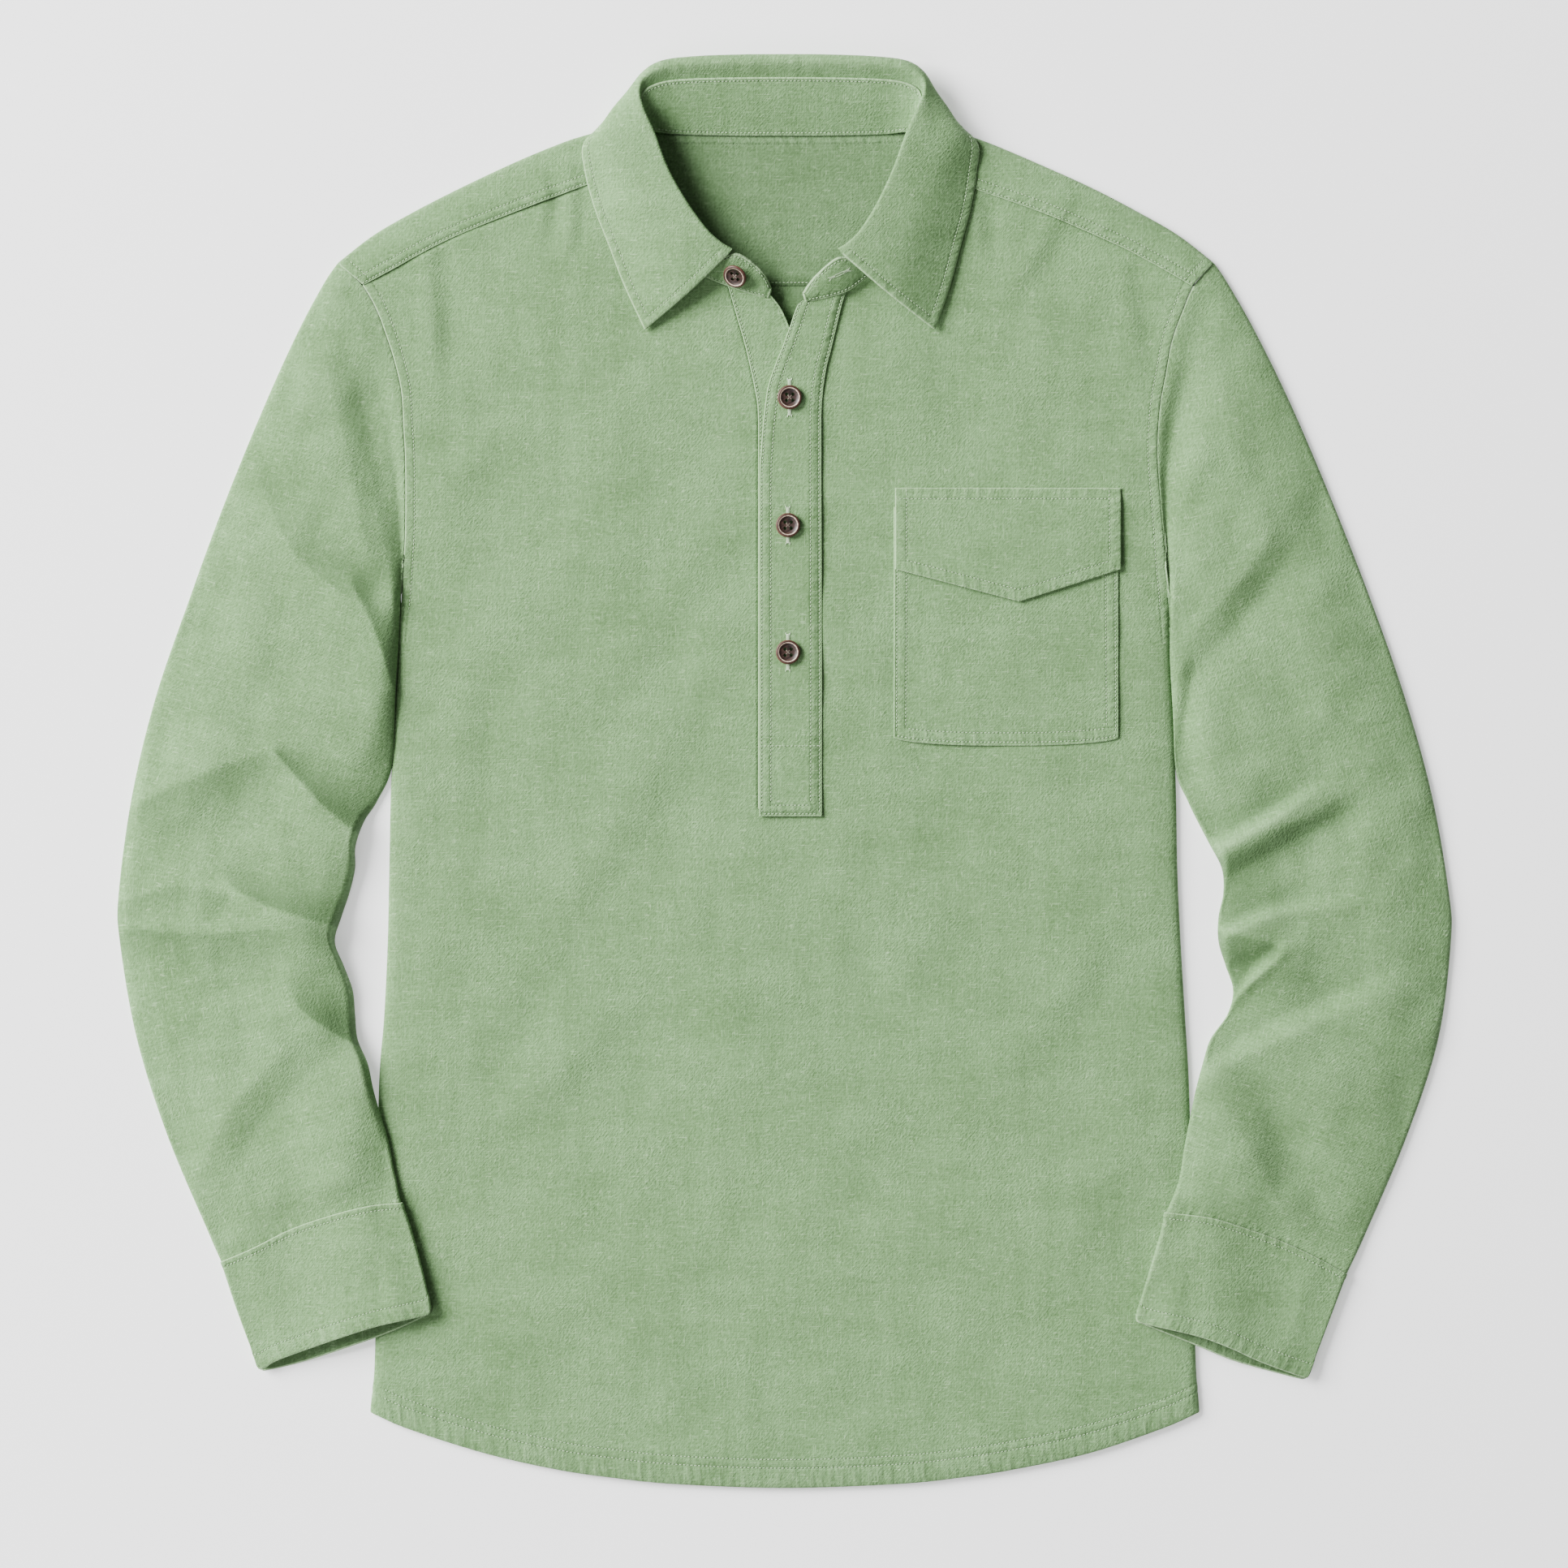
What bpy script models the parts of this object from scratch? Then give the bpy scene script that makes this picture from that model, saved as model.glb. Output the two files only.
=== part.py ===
"""A long-sleeved popover shirt with a collar on a stand, laid flat with its front up.

The shirt lies on the XY plane with its collar towards +Y and +Z up. The origin is on
the floor, under the middle of the shirt as laid. Left and right are those seen from
above. Every panel is a thin wall of cloth: a grid set on the panel's own surface, and
then given its thickness. Tables and sizes are in millimetres; the meshes are in metres.
"""

import math

import bmesh
import bpy
import numpy as np
from mathutils import Matrix, Vector

MM = 0.001

# Cloth
CLOTH = 1.2             # wall of one layer
COLLAR_CLOTH = 1.6      # collar, stand and flap are two layers with an interlining
SEAM = 0.3              # half of the gap between two sewn pieces
LAY = 0.4               # gap between a piece and the panel that it lies on
OVER = 0.9              # gap between a sleeve and the body that it crosses

# Heights above the floor
EDGE_TOP = 2.9          # top of the front along the side seams and the hem
PANEL_TOP = 5.0         # top of the front away from its edges
NECK_LIFT = 1.6         # extra height of the front round the neck
SIDE_ROLL = 18.0        # width over which the front rounds down to its edge
SHOULDER_TOP = 4.4      # height of the yoke's fold at the shoulder
SHOULDER_ROLL = 2.6
SLEEVE_EDGE = 4.2       # height of a sleeve's rolled edges
SLEEVE_ROLL = 3.0
SLEEVE_RISE = 3.8       # further height in the middle of a sleeve
CUFF_EDGE = 3.6
CUFF_RISE = 1.4
UNDERARM_Y = 96.0
UNDERARM_X = 214.0
UNDERARM_LIFT = 1.1     # how much higher a sleeve starts at the underarm

# Colours, linear
SAGE = (0.330, 0.462, 0.280)
SAGE_DEEP = (0.285, 0.410, 0.240)
SAGE_LIT = (0.375, 0.510, 0.325)
BUTTON_BROWN = (0.075, 0.032, 0.022)

# Outlines of the body: x, y. Each runs from the shoulder or seam downwards.
SHOULDER_LEFT = [(-247.5, 282.6), (-227.7, 297.9), (-204.3, 311.4), (-177.8, 324.9),
                 (-149.0, 338.4), (-127.4, 347.4), (-114.8, 351.9), (-96.0, 356.8),
                 (-76.5, 360.0)]
SHOULDER_RIGHT = [(237.6, 282.6), (217.8, 297.9), (194.4, 311.4), (168.3, 324.9),
                  (138.2, 338.4), (117.0, 347.4), (104.9, 351.9), (90.0, 356.4),
                  (72.0, 360.0)]
FORWARD_LEFT = [(-233.6, 270.4), (-216.0, 279.9), (-204.8, 286.2), (-183.6, 297.0),
                (-147.2, 311.9), (-110.2, 325.8), (-79.7, 337.0)]
FORWARD_RIGHT = [(225.9, 270.0), (207.9, 280.4), (197.1, 286.2), (185.8, 292.0),
                 (145.3, 309.6), (104.9, 324.0), (75.5, 336.0)]
NECK_LEFT = [(-79.7, 337.0), (-79.5, 322.0), (-74.0, 306.0), (-63.0, 290.0),
             (-48.0, 276.6), (-30.2, 267.3)]
NECK_RIGHT = [(75.5, 336.0), (76.5, 322.0), (73.0, 306.0), (63.5, 289.0),
              (50.5, 275.4), (33.2, 265.8)]
NECK_BACK = [(-76.5, 357.4), (-66.0, 355.2), (-45.0, 354.5), (0.0, 354.3),
             (42.0, 354.5), (62.0, 355.2), (72.0, 357.4)]
ARMHOLE_LEFT = [(-247.5, 282.6), (-241.2, 276.9), (-233.6, 269.6), (-226.3, 256.9),
                (-221.0, 243.0), (-216.5, 229.1), (-212.4, 211.5), (-211.3, 192.6),
                (-210.2, 172.3), (-210.2, 135.9), (-211.2, 116.5), (-212.4, 96.3)]
ARMHOLE_RIGHT = [(237.6, 282.6), (231.8, 276.3), (225.9, 269.1), (220.1, 255.6),
                 (214.2, 239.0), (210.6, 220.1), (207.5, 202.5), (206.1, 180.0),
                 (207.0, 160.7), (209.2, 135.5), (210.6, 116.5), (212.4, 96.3)]
SIDE_LEFT = [(-212.4, 96.3), (-213.3, 81.9), (-215.6, 41.4), (-218.2, -5.9),
             (-219.2, -53.1), (-220.1, -93.6), (-222.0, -134.0), (-225.0, -174.6),
             (-226.2, -250.0), (-227.2, -323.1), (-229.5, -354.6)]
SIDE_RIGHT = [(212.4, 96.3), (213.3, 68.4), (215.1, 32.4), (216.9, -12.6),
              (217.6, -53.1), (219.4, -93.6), (221.8, -134.0), (224.1, -174.6),
              (226.0, -250.0), (227.7, -323.1), (229.5, -354.6)]
HEM = [(-229.5, -354.6), (-208.8, -363.6), (-166.5, -377.1), (-126.9, -386.1),
       (-96.8, -390.6), (-61.6, -394.2), (0.0, -396.4), (63.0, -394.2),
       (98.1, -390.6), (127.4, -386.1), (168.8, -377.1), (208.8, -363.6),
       (229.5, -354.6)]
YOKE_SEAM_Y = 270.9     # seam between the yoke and the back panel

# The placket opening: x, y of each band's edges, from the neck down
SLIT_FOOT_Y = -20.0
BAND_FOOT_Y = -24.3
UNDER_OUTER = [(-30.2, 267.3), (-25.2, 249.8), (-20.7, 233.6), (-15.8, 211.1),
               (-14.2, 196.7), (-14.2, 159.8), (-14.2, 70.0), (-14.2, SLIT_FOOT_Y)]
UNDER_INNER = [(-7.7, 263.6), (-1.4, 255.6), (4.6, 240.0), (12.0, 215.0),
               (17.0, 190.0), (18.6, 160.0), (18.6, 70.0), (18.6, SLIT_FOOT_Y)]
BAND_LEFT = [(9.9, 261.0), (6.8, 257.9), (2.7, 246.6), (-1.4, 235.3), (-5.9, 224.1),
             (-9.5, 212.8), (-11.7, 196.7), (-13.3, 177.3), (-14.0, 159.8),
             (-14.0, 70.0), (-14.0, BAND_FOOT_Y)]
BAND_RIGHT = [(34.2, 265.8), (31.5, 257.9), (26.1, 235.3), (22.9, 222.3),
              (20.6, 203.0), (20.4, 177.3), (20.4, 159.8), (20.7, 70.0),
              (20.7, BAND_FOOT_Y)]
SLIT_RIGHT = [(x - 1.0, max(y, SLIT_FOOT_Y)) for x, y in BAND_RIGHT]

# Pocket and flap
POCKET_LEFT, POCKET_RIGHT = 60.3, 184.8
POCKET_TOP, POCKET_FOOT = 147.0, 19.7
POCKET_BELLY = 4.9      # how far the rounded foot hangs below its corners
FLAP_LEFT, FLAP_RIGHT = 61.0, 186.0
FLAP_TOP, FLAP_SIDE_FOOT, FLAP_POINT = 157.6, 112.5, 94.5
FLAP_POINT_X = 129.6

# Buttons
BUTTON_RADIUS, BUTTON_HEIGHT = 6.75, 2.4
BUTTON_HOLE, BUTTON_HOLE_OUT = 0.85, 1.65
BUTTON_PLACES = [(2.7, 207.5), (1.8, 136.8), (1.8, 66.6)]
STAND_BUTTON_ALONG = 0.066  # place of the stand's button along the stand
STAND_BUTTON_UP = 0.47

# Collar sections, from the middle of the back round to the left point:
# seam on the neckline | ridge of the fold | outermost swell | leaf's edge, x y z each
COLLAR = [
    (0.0, 353.8, 2.6, 0.0, 391.6, 15.6, 0.0, 394.4, 8.6, 0.0, 360.0, 1.0),
    (-25.0, 353.8, 2.6, -25.0, 391.4, 15.6, -25.0, 394.2, 8.6, -25.0, 360.0, 1.0),
    (-48.0, 354.2, 2.6, -49.0, 391.0, 15.8, -49.5, 393.8, 8.6, -49.0, 360.2, 1.0),
    (-62.0, 355.0, 2.8, -67.0, 389.4, 16.2, -69.0, 392.4, 8.8, -66.0, 360.8, 1.0),
    (-72.0, 355.6, 4.6, -78.0, 385.0, 17.0, -82.5, 387.6, 9.0, -79.0, 362.6, 1.0),
    (-77.5, 352.5, 6.6, -81.4, 377.0, 18.4, -92.2, 377.0, 9.6, -88.0, 363.4, 1.2),
    (-80.0, 346.0, 7.0, -79.4, 366.4, 19.8, -100.2, 364.4, 10.6, -97.0, 360.8, 1.8),
    (-81.6, 337.0, 7.0, -73.6, 353.4, 21.2, -98.0, 352.6, 16.0, -110.4, 348.6, 7.2),
    (-81.0, 322.0, 7.6, -65.9, 333.4, 22.0, -90.0, 334.6, 17.6, -110.2, 333.0, 7.0),
    (-75.0, 305.0, 7.8, -55.9, 315.4, 22.4, -81.0, 313.6, 18.2, -104.8, 312.4, 7.0),
    (-64.0, 289.0, 8.0, -44.7, 299.7, 22.0, -71.0, 296.4, 18.0, -97.6, 293.6, 7.2),
    (-55.0, 281.2, 8.0, -36.4, 291.6, 21.0, -62.6, 281.4, 17.2, -88.4, 269.6, 7.2),
    (-45.0, 275.0, 8.0, -30.2, 287.4, 19.8, -53.4, 265.4, 15.4, -77.2, 245.4, 7.6),
]
# Share of the way from the seam to the fold where the stand ends, per section
STAND_SHARE = [0.70, 0.70, 0.70, 0.71, 0.71, 0.72, 0.72, 0.73, 0.74, 0.74, 0.74, 0.74, 0.74]
LEAF_START = 0.08       # share between the stand's top and the start of the leaf
# The stand's free end beyond the leaf: foot x y z | top x y z
STAND_END = [
    (-34.0, 270.2, 8.2, -25.4, 285.0, 18.6),
    (-24.0, 267.3, 8.2, -18.6, 280.2, 15.6),
    (-15.4, 265.0, 8.2, -12.4, 272.6, 11.4),
    (-8.6, 263.4, 8.2, -8.4, 265.6, 8.6),
]
COLLAR_SHIFT_Y = [245.0, 330.0, 367.0, 390.0]     # the right half leans a little:
COLLAR_SHIFT_X = [5.5, -4.5, -5.0, -1.0]          # sideways shift at those y
RIGHT_END_LIFT = 1.6    # the right end lies on the thicker band
RIGHT_LIFT_Y = 300.0    # and rises to it below this y

# Sleeves: outer and inner edges, x y, from the armhole to the cuff seam
SLEEVE_OUTER_LEFT = [(-247.5, 282.6), (-255.6, 270.9), (-270.0, 243.9), (-288.4, 203.4),
                     (-310.5, 149.4), (-330.3, 95.4), (-348.8, 41.4), (-361.8, -12.6),
                     (-369.2, -66.6), (-368.6, -93.6), (-359.1, -147.6),
                     (-342.0, -201.6), (-319.1, -255.6), (-311.9, -271.8)]
SLEEVE_INNER_LEFT = [(-212.6, 96.3), (-214.6, 81.9), (-216.8, 41.4), (-220.8, 5.0),
                     (-226.6, -14.0), (-233.1, -26.1), (-237.4, -41.6), (-238.1, -53.1),
                     (-241.2, -66.6), (-245.7, -80.1), (-249.3, -93.6), (-244.3, -107.1),
                     (-239.4, -120.6), (-238.1, -134.1), (-236.6, -147.6),
                     (-230.8, -161.1), (-227.8, -174.6), (-224.4, -187.1),
                     (-219.6, -202.7), (-216.0, -220.2), (-212.0, -238.6)]
SLEEVE_OUTER_RIGHT = [(237.6, 282.6), (245.7, 270.9), (261.0, 243.9), (280.8, 203.4),
                      (303.8, 149.4), (324.9, 95.4), (343.8, 41.4), (358.7, -12.6),
                      (368.1, -66.6), (369.2, -93.6), (362.2, -147.6), (344.7, -201.6),
                      (321.8, -255.6), (310.9, -278.6)]
SLEEVE_INNER_RIGHT = [(212.6, 96.3), (214.5, 68.4), (216.4, 32.4), (219.0, -2.0),
                      (223.4, -16.0), (229.0, -27.6), (235.3, -39.6), (242.1, -53.1),
                      (243.0, -66.6), (240.3, -80.1), (240.3, -93.6), (244.3, -107.1),
                      (248.4, -120.6), (245.2, -134.1), (235.8, -147.6),
                      (231.3, -161.1), (227.6, -174.6), (224.6, -189.0),
                      (221.4, -205.0), (217.8, -226.0), (210.6, -243.9)]
CUFF_SEAM_LEFT = [(-311.9, -271.8), (-294.8, -264.2), (-272.7, -253.3),
                  (-249.3, -245.2), (-229.5, -240.3), (-212.0, -238.6)]
CUFF_SEAM_RIGHT = [(310.9, -278.6), (293.9, -269.1), (274.5, -260.1),
                   (254.7, -252.9), (235.3, -247.0), (210.6, -243.9)]
CUFF_OUTER_LEFT = [(-311.9, -271.8), (-304.2, -296.1), (-290.7, -331.2)]
CUFF_INNER_LEFT = [(-212.0, -238.6), (-206.1, -253.3), (-200.2, -274.9), (-195.2, -299.0)]
CUFF_OUTER_RIGHT = [(310.9, -278.6), (302.4, -301.6), (289.0, -336.0)]
CUFF_INNER_RIGHT = [(210.6, -243.9), (207.0, -256.5), (199.3, -282.6), (193.6, -303.4)]
MOUTH_TOP_LEFT = [(-290.7, -331.2), (-278.6, -324.4), (-245.2, -312.3),
                  (-223.7, -305.6), (-195.2, -299.0)]
MOUTH_UNDER_LEFT = [(-290.7, -331.2), (-266.9, -326.6), (-241.2, -318.0),
                    (-219.0, -310.0), (-195.2, -299.0)]
MOUTH_TOP_RIGHT = [(289.0, -336.0), (262.8, -325.8), (245.2, -317.7), (227.7, -311.4),
                   (193.6, -303.4)]
MOUTH_UNDER_RIGHT = [(289.0, -336.0), (261.0, -329.6), (245.2, -324.6), (227.2, -317.0),
                     (193.6, -303.4)]

# Folds: a trough along start - middle - end, with a raised crest on its right-hand
# side. Strength at the two ends is a share of the full depth.
# start x y | middle x y | end x y | half width | depth | crest | at start | at end
BODY_FOLDS = [
    (-21, 118, -62, 68, -98, 23, 13, 0.9, 0.5, 0.4, 0.3),
    (-30, 37, -84, -55, -178, -195, 15, 1.0, 0.6, 0.3, 0.3),
    (-44, -103, -98, -166, -170, -226, 13, 0.8, 0.5, 0.3, 0.3),
    (-156, 62, -163, 22, -165, -18, 10, 0.8, 0.3, 0.3, 0.3),
    (-147, 178, -166, 160, -184, 148, 10, 0.7, 0.4, 0.3, 0.4),
    (-187, 276, -186, 240, -183, 196, 8, 0.9, 0.4, 0.4, 0.2),
    (156, 284, 140, 270, 124, 255, 8, 0.7, 0.4, 0.4, 0.2),
    (195, 268, 200, 246, 203, 224, 7, 0.8, 0.3, 0.5, 0.2),
    (192, -98, 172, -128, 145, -160, 11, 0.8, 0.4, 0.3, 0.3),
    (42, -64, 45, -100, 51, -134, 12, 0.7, 0.4, 0.2, 0.2),
]
SLEEVE_FOLDS_LEFT = [
    (-240, 262, -226, 190, -214, 112, 9, 2.0, 0.6, 0.5, 0.9),
    (-250, 97, -232, 88, -217, 90, 9, 3.2, 1.6, 0.1, 1.0),
    (-281, 9, -262, -12, -240, -34, 8, 3.6, 3.0, 0.3, 1.0),
    (-306, -63, -284, -74, -250, -89, 8, 3.2, 2.8, 0.3, 1.0),
    (-266, -127, -254, -140, -238, -148, 8, 3.0, 2.4, 0.4, 1.0),
    (-255, -158, -292, -200, -311, -246, 13, 2.4, 1.4, 0.7, 0.3),
    (-345, 50, -290, 66, -244, 70, 17, 1.6, 1.2, 0.3, 0.4),
    (-356, -14, -312, -20, -272, -28, 15, 1.4, 1.0, 0.3, 0.3),
    (-356, -84, -322, -86, -296, -92, 13, 1.3, 1.0, 0.4, 0.3),
]
SLEEVE_FOLDS_RIGHT = [
    (228, 262, 213, 170, 220, 68, 9, 2.0, 0.0, 0.5, 0.9),
    (292, 152, 268, 104, 236, 46, 15, 1.8, 0.8, 0.2, 0.8),
    (224, 52, 221, 28, 222, 2, 7, 2.6, 0.6, 0.4, 0.8),
    (240, -24, 270, -10, 306, 8, 9, 3.4, 3.0, 1.0, 0.2),
    (350, 6, 316, -20, 278, -42, 12, 2.0, 1.2, 0.3, 0.5),
    (244, -80, 276, -67, 340, -66, 10, 2.8, 2.0, 1.0, 0.3),
    (248, -110, 262, -104, 272, -97, 7, 2.4, 1.4, 0.9, 0.4),
    (240, -152, 285, -130, 360, -98, 11, 2.6, 2.0, 1.0, 0.3),
    (257, -168, 285, -218, 311, -264, 13, 2.2, 1.2, 0.5, 0.3),
]


# ---------------------------------------------------------------- curves and surfaces

def spline_at(rows, where):
    """Values at the given row numbers (fractions allowed) of a soft curve through rows."""
    rows = np.asarray(rows, float)
    where = np.clip(np.asarray(where, float), 0.0, len(rows) - 1.0)
    padded = np.vstack([2 * rows[0] - rows[1], rows, 2 * rows[-1] - rows[-2]])
    row = np.minimum(where.astype(int), len(rows) - 2)
    t = (where - row)[..., None]
    a, b, c, d = (padded[row + k] for k in range(4))
    return 0.5 * (2 * b + (c - a) * t + (2 * a - 5 * b + 4 * c - d) * t ** 2
                  + (3 * b - a - 3 * c + d) * t ** 3)


def dense(rows):
    """A finely stepped copy of the soft curve through rows."""
    return spline_at(rows, np.linspace(0.0, len(rows) - 1.0, 10 * len(rows)))


def along(rows, share):
    """Points at the given shares of the curve's length."""
    line = dense(rows)
    run = np.concatenate([[0.0], np.cumsum(np.linalg.norm(np.diff(line, axis=0), axis=1))])
    return np.stack([np.interp(share, run / run[-1], line[:, k])
                     for k in range(line.shape[1])], axis=-1)


def x_at(rows, y):
    """x of an outline that runs downwards, at the given y."""
    line = dense(rows)[::-1]
    return np.interp(y, line[:, 1], line[:, 0])


def hem_y_at(x):
    line = dense(HEM)
    return np.interp(x, line[:, 0], line[:, 1])


def smoothstep(value):
    value = np.clip(value, 0.0, 1.0)
    return value * value * (3.0 - 2.0 * value)


def round_off(value):
    """Rises steeply from 0, like the quarter of a circle, to 1."""
    return np.sqrt(np.clip(1.0 - (1.0 - np.clip(value, 0.0, 1.0)) ** 2, 0.0, 1.0))


def four_sided(start, finish, low, high, across, up):
    """Plan of a piece between four edges: low and high run across, start and finish up."""
    a, b = across[:, None], up[:, None]
    sides = (1 - a) * along(start, up) + a * along(finish, up)
    ends = (1 - b) * along(low, across) + b * along(high, across)
    corners = ((1 - b) * ((1 - a) * along(low, [0.0]) + a * along(low, [1.0]))
               + b * ((1 - a) * along(high, [0.0]) + a * along(high, [1.0])))
    return sides + ends - corners


def fold_height(folds, x, y):
    """Sum of the troughs and crests of a table of folds at the points x, y."""
    total = np.zeros_like(x)
    for x0, y0, x1, y1, x2, y2, width, depth, crest, at_start, at_end in folds:
        t = np.linspace(0.0, 1.0, 25)
        line = spline_at([(x0, y0), (x1, y1), (x2, y2)], 2.0 * t)
        heading = np.gradient(line, axis=0)
        heading /= np.linalg.norm(heading, axis=1)[:, None]
        away = np.stack([x, y], axis=-1)[:, None, :] - line[None, :, :]
        near = np.argmin((away ** 2).sum(axis=2), axis=1)
        pick = np.arange(len(near))
        gap = np.linalg.norm(away[pick, near], axis=1)
        right = away[pick, near, 0] * heading[near, 1] - away[pick, near, 1] * heading[near, 0]
        signed = np.where(right > 0.0, gap, -gap)
        strength = np.interp(t[near], [0.0, 0.5, 1.0], [at_start, 1.0, at_end])
        trough = depth * np.exp(-(signed / width) ** 2)
        ridge = crest * np.exp(-((signed - 1.7 * width) / width) ** 2)
        total += strength * (ridge - trough)
    return total


def front_top(x, y):
    """Height of the outer face of the front."""
    from_side = np.minimum(x - x_at(SIDE_LEFT, y), x_at(SIDE_RIGHT, y) - x)
    from_hem = y - hem_y_at(x)
    open_side = smoothstep((y - UNDERARM_Y + 30.0) / 60.0)
    rise = np.maximum(round_off(from_side / SIDE_ROLL), open_side)
    rise = rise * round_off(from_hem / SIDE_ROLL)
    neck = NECK_LIFT * np.exp(-((x / 85.0) ** 2 + ((y - 290.0) / 70.0) ** 2))
    swell = PANEL_TOP - EDGE_TOP + fold_height(BODY_FOLDS, x, y)
    return EDGE_TOP + rise * swell + neck


# ---------------------------------------------------------------- building blocks

def material(name, colour, roughness):
    made = bpy.data.materials.new(name)
    made.use_nodes = True
    shader = made.node_tree.nodes["Principled BSDF"]
    shader.inputs["Base Color"].default_value = (*colour, 1.0)
    shader.inputs["Roughness"].default_value = roughness
    shader.inputs["Metallic"].default_value = 0.0
    return made


def add_object(name, bm, colour, roughness):
    """Makes the object of a finished bmesh, shaded smooth, with its own material."""
    mesh = bpy.data.meshes.new(name)
    bm.to_mesh(mesh)
    bm.free()
    mesh.materials.append(material(name + "_cloth", colour, roughness))
    mesh.shade_smooth()
    mesh.set_sharp_from_angle(angle=math.radians(40.0))
    thing = bpy.data.objects.new(name, mesh)
    bpy.context.scene.collection.objects.link(thing)
    return thing


def cloth(name, across, up, surface, colour=SAGE, wall=CLOTH, keep=None, flip=False):
    """One cloth piece: a grid over two lists of stations, set on surface(across, up).

    keep(across, up) says which cells are cloth. The wall grows inwards from the outer
    face, which is above the grid, or below it when flip is set.
    """
    bm = bmesh.new()
    bmesh.ops.create_grid(bm, x_segments=len(across) - 1, y_segments=len(up) - 1, size=0.5)
    column = {v: round((v.co.x + 0.5) * (len(across) - 1)) for v in bm.verts}
    row = {v: round((v.co.y + 0.5) * (len(up) - 1)) for v in bm.verts}
    if keep:
        outside = []
        for face in bm.faces:
            middle_a = sum(across[column[v]] for v in face.verts) / 4.0
            middle_b = sum(up[row[v]] for v in face.verts) / 4.0
            if not keep(middle_a, middle_b):
                outside.append(face)
        bmesh.ops.delete(bm, geom=outside, context="FACES")
    verts = list(bm.verts)
    places = surface(np.array([across[column[v]] for v in verts]),
                     np.array([up[row[v]] for v in verts]))
    for vert, place in zip(verts, places):
        vert.co = Vector(place) * MM
    bmesh.ops.remove_doubles(bm, verts=bm.verts, dist=1e-6)
    if flip:
        bmesh.ops.reverse_faces(bm, faces=bm.faces)
    thing = add_object(name, bm, colour, 0.85)
    solid = thing.modifiers.new("wall", "SOLIDIFY")
    solid.thickness = wall * MM
    solid.offset = -1.0
    solid.use_even_offset = False
    solid.use_quality_normals = True
    return thing


def stations(count, *marks):
    """Evenly spaced stations from 0 to 1, with extra ones close to 0."""
    return np.array([0.0, *marks, *np.linspace(0.0, 1.0, count + 1)[1:]])


def both_ends(count, *marks):
    """Evenly spaced stations from 0 to 1, with extra ones close to both ends."""
    near = stations(count, *marks)
    return np.array([*near[:-1], *[1.0 - m for m in reversed(marks)], 1.0])


# ---------------------------------------------------------------- the body

def cut_line(rows, y):
    """The part of a downward outline below y, and the part above it."""
    line = dense(rows)
    split = np.array([[float(x_at(rows, y)), y]])
    lower = np.vstack([split, line[line[:, 1] < y - 0.5]])
    upper = np.vstack([line[line[:, 1] > y + 0.5], split])
    return lower, upper


def build_back():
    """The back panel lies flat on the floor, from the yoke seam to the hem."""
    inset = 2 * SEAM
    lines = [dense(ARMHOLE_LEFT), dense(SIDE_LEFT)[1:], dense(HEM)[1:-1],
             dense(SIDE_RIGHT)[::-1][:-1], dense(ARMHOLE_RIGHT)[::-1]]
    outline = np.vstack([line[::4] for line in lines])
    outline = outline[outline[:, 1] < YOKE_SEAM_Y - 1.0]
    top = YOKE_SEAM_Y - 2 * SEAM
    corners = np.array([(float(x_at(ARMHOLE_RIGHT, top)), top),
                        (float(x_at(ARMHOLE_LEFT, top)), top)])
    outline = np.vstack([outline, corners])
    bm = bmesh.new()
    verts = [bm.verts.new((x * MM, y * MM, 0.0)) for x, y in outline]
    face = bm.faces.new(verts)
    bmesh.ops.inset_region(bm, faces=[face], thickness=inset * MM, use_even_offset=True)
    bmesh.ops.delete(bm, geom=[f for f in bm.faces if f is not face], context="FACES")
    grown = bmesh.ops.extrude_face_region(bm, geom=[face])
    raised = [v for v in grown["geom"] if isinstance(v, bmesh.types.BMVert)]
    bmesh.ops.translate(bm, verts=raised, vec=(0.0, 0.0, CLOTH * MM))
    bmesh.ops.recalc_face_normals(bm, faces=bm.faces)
    return add_object("back", bm, SAGE_DEEP, 0.85)


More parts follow.
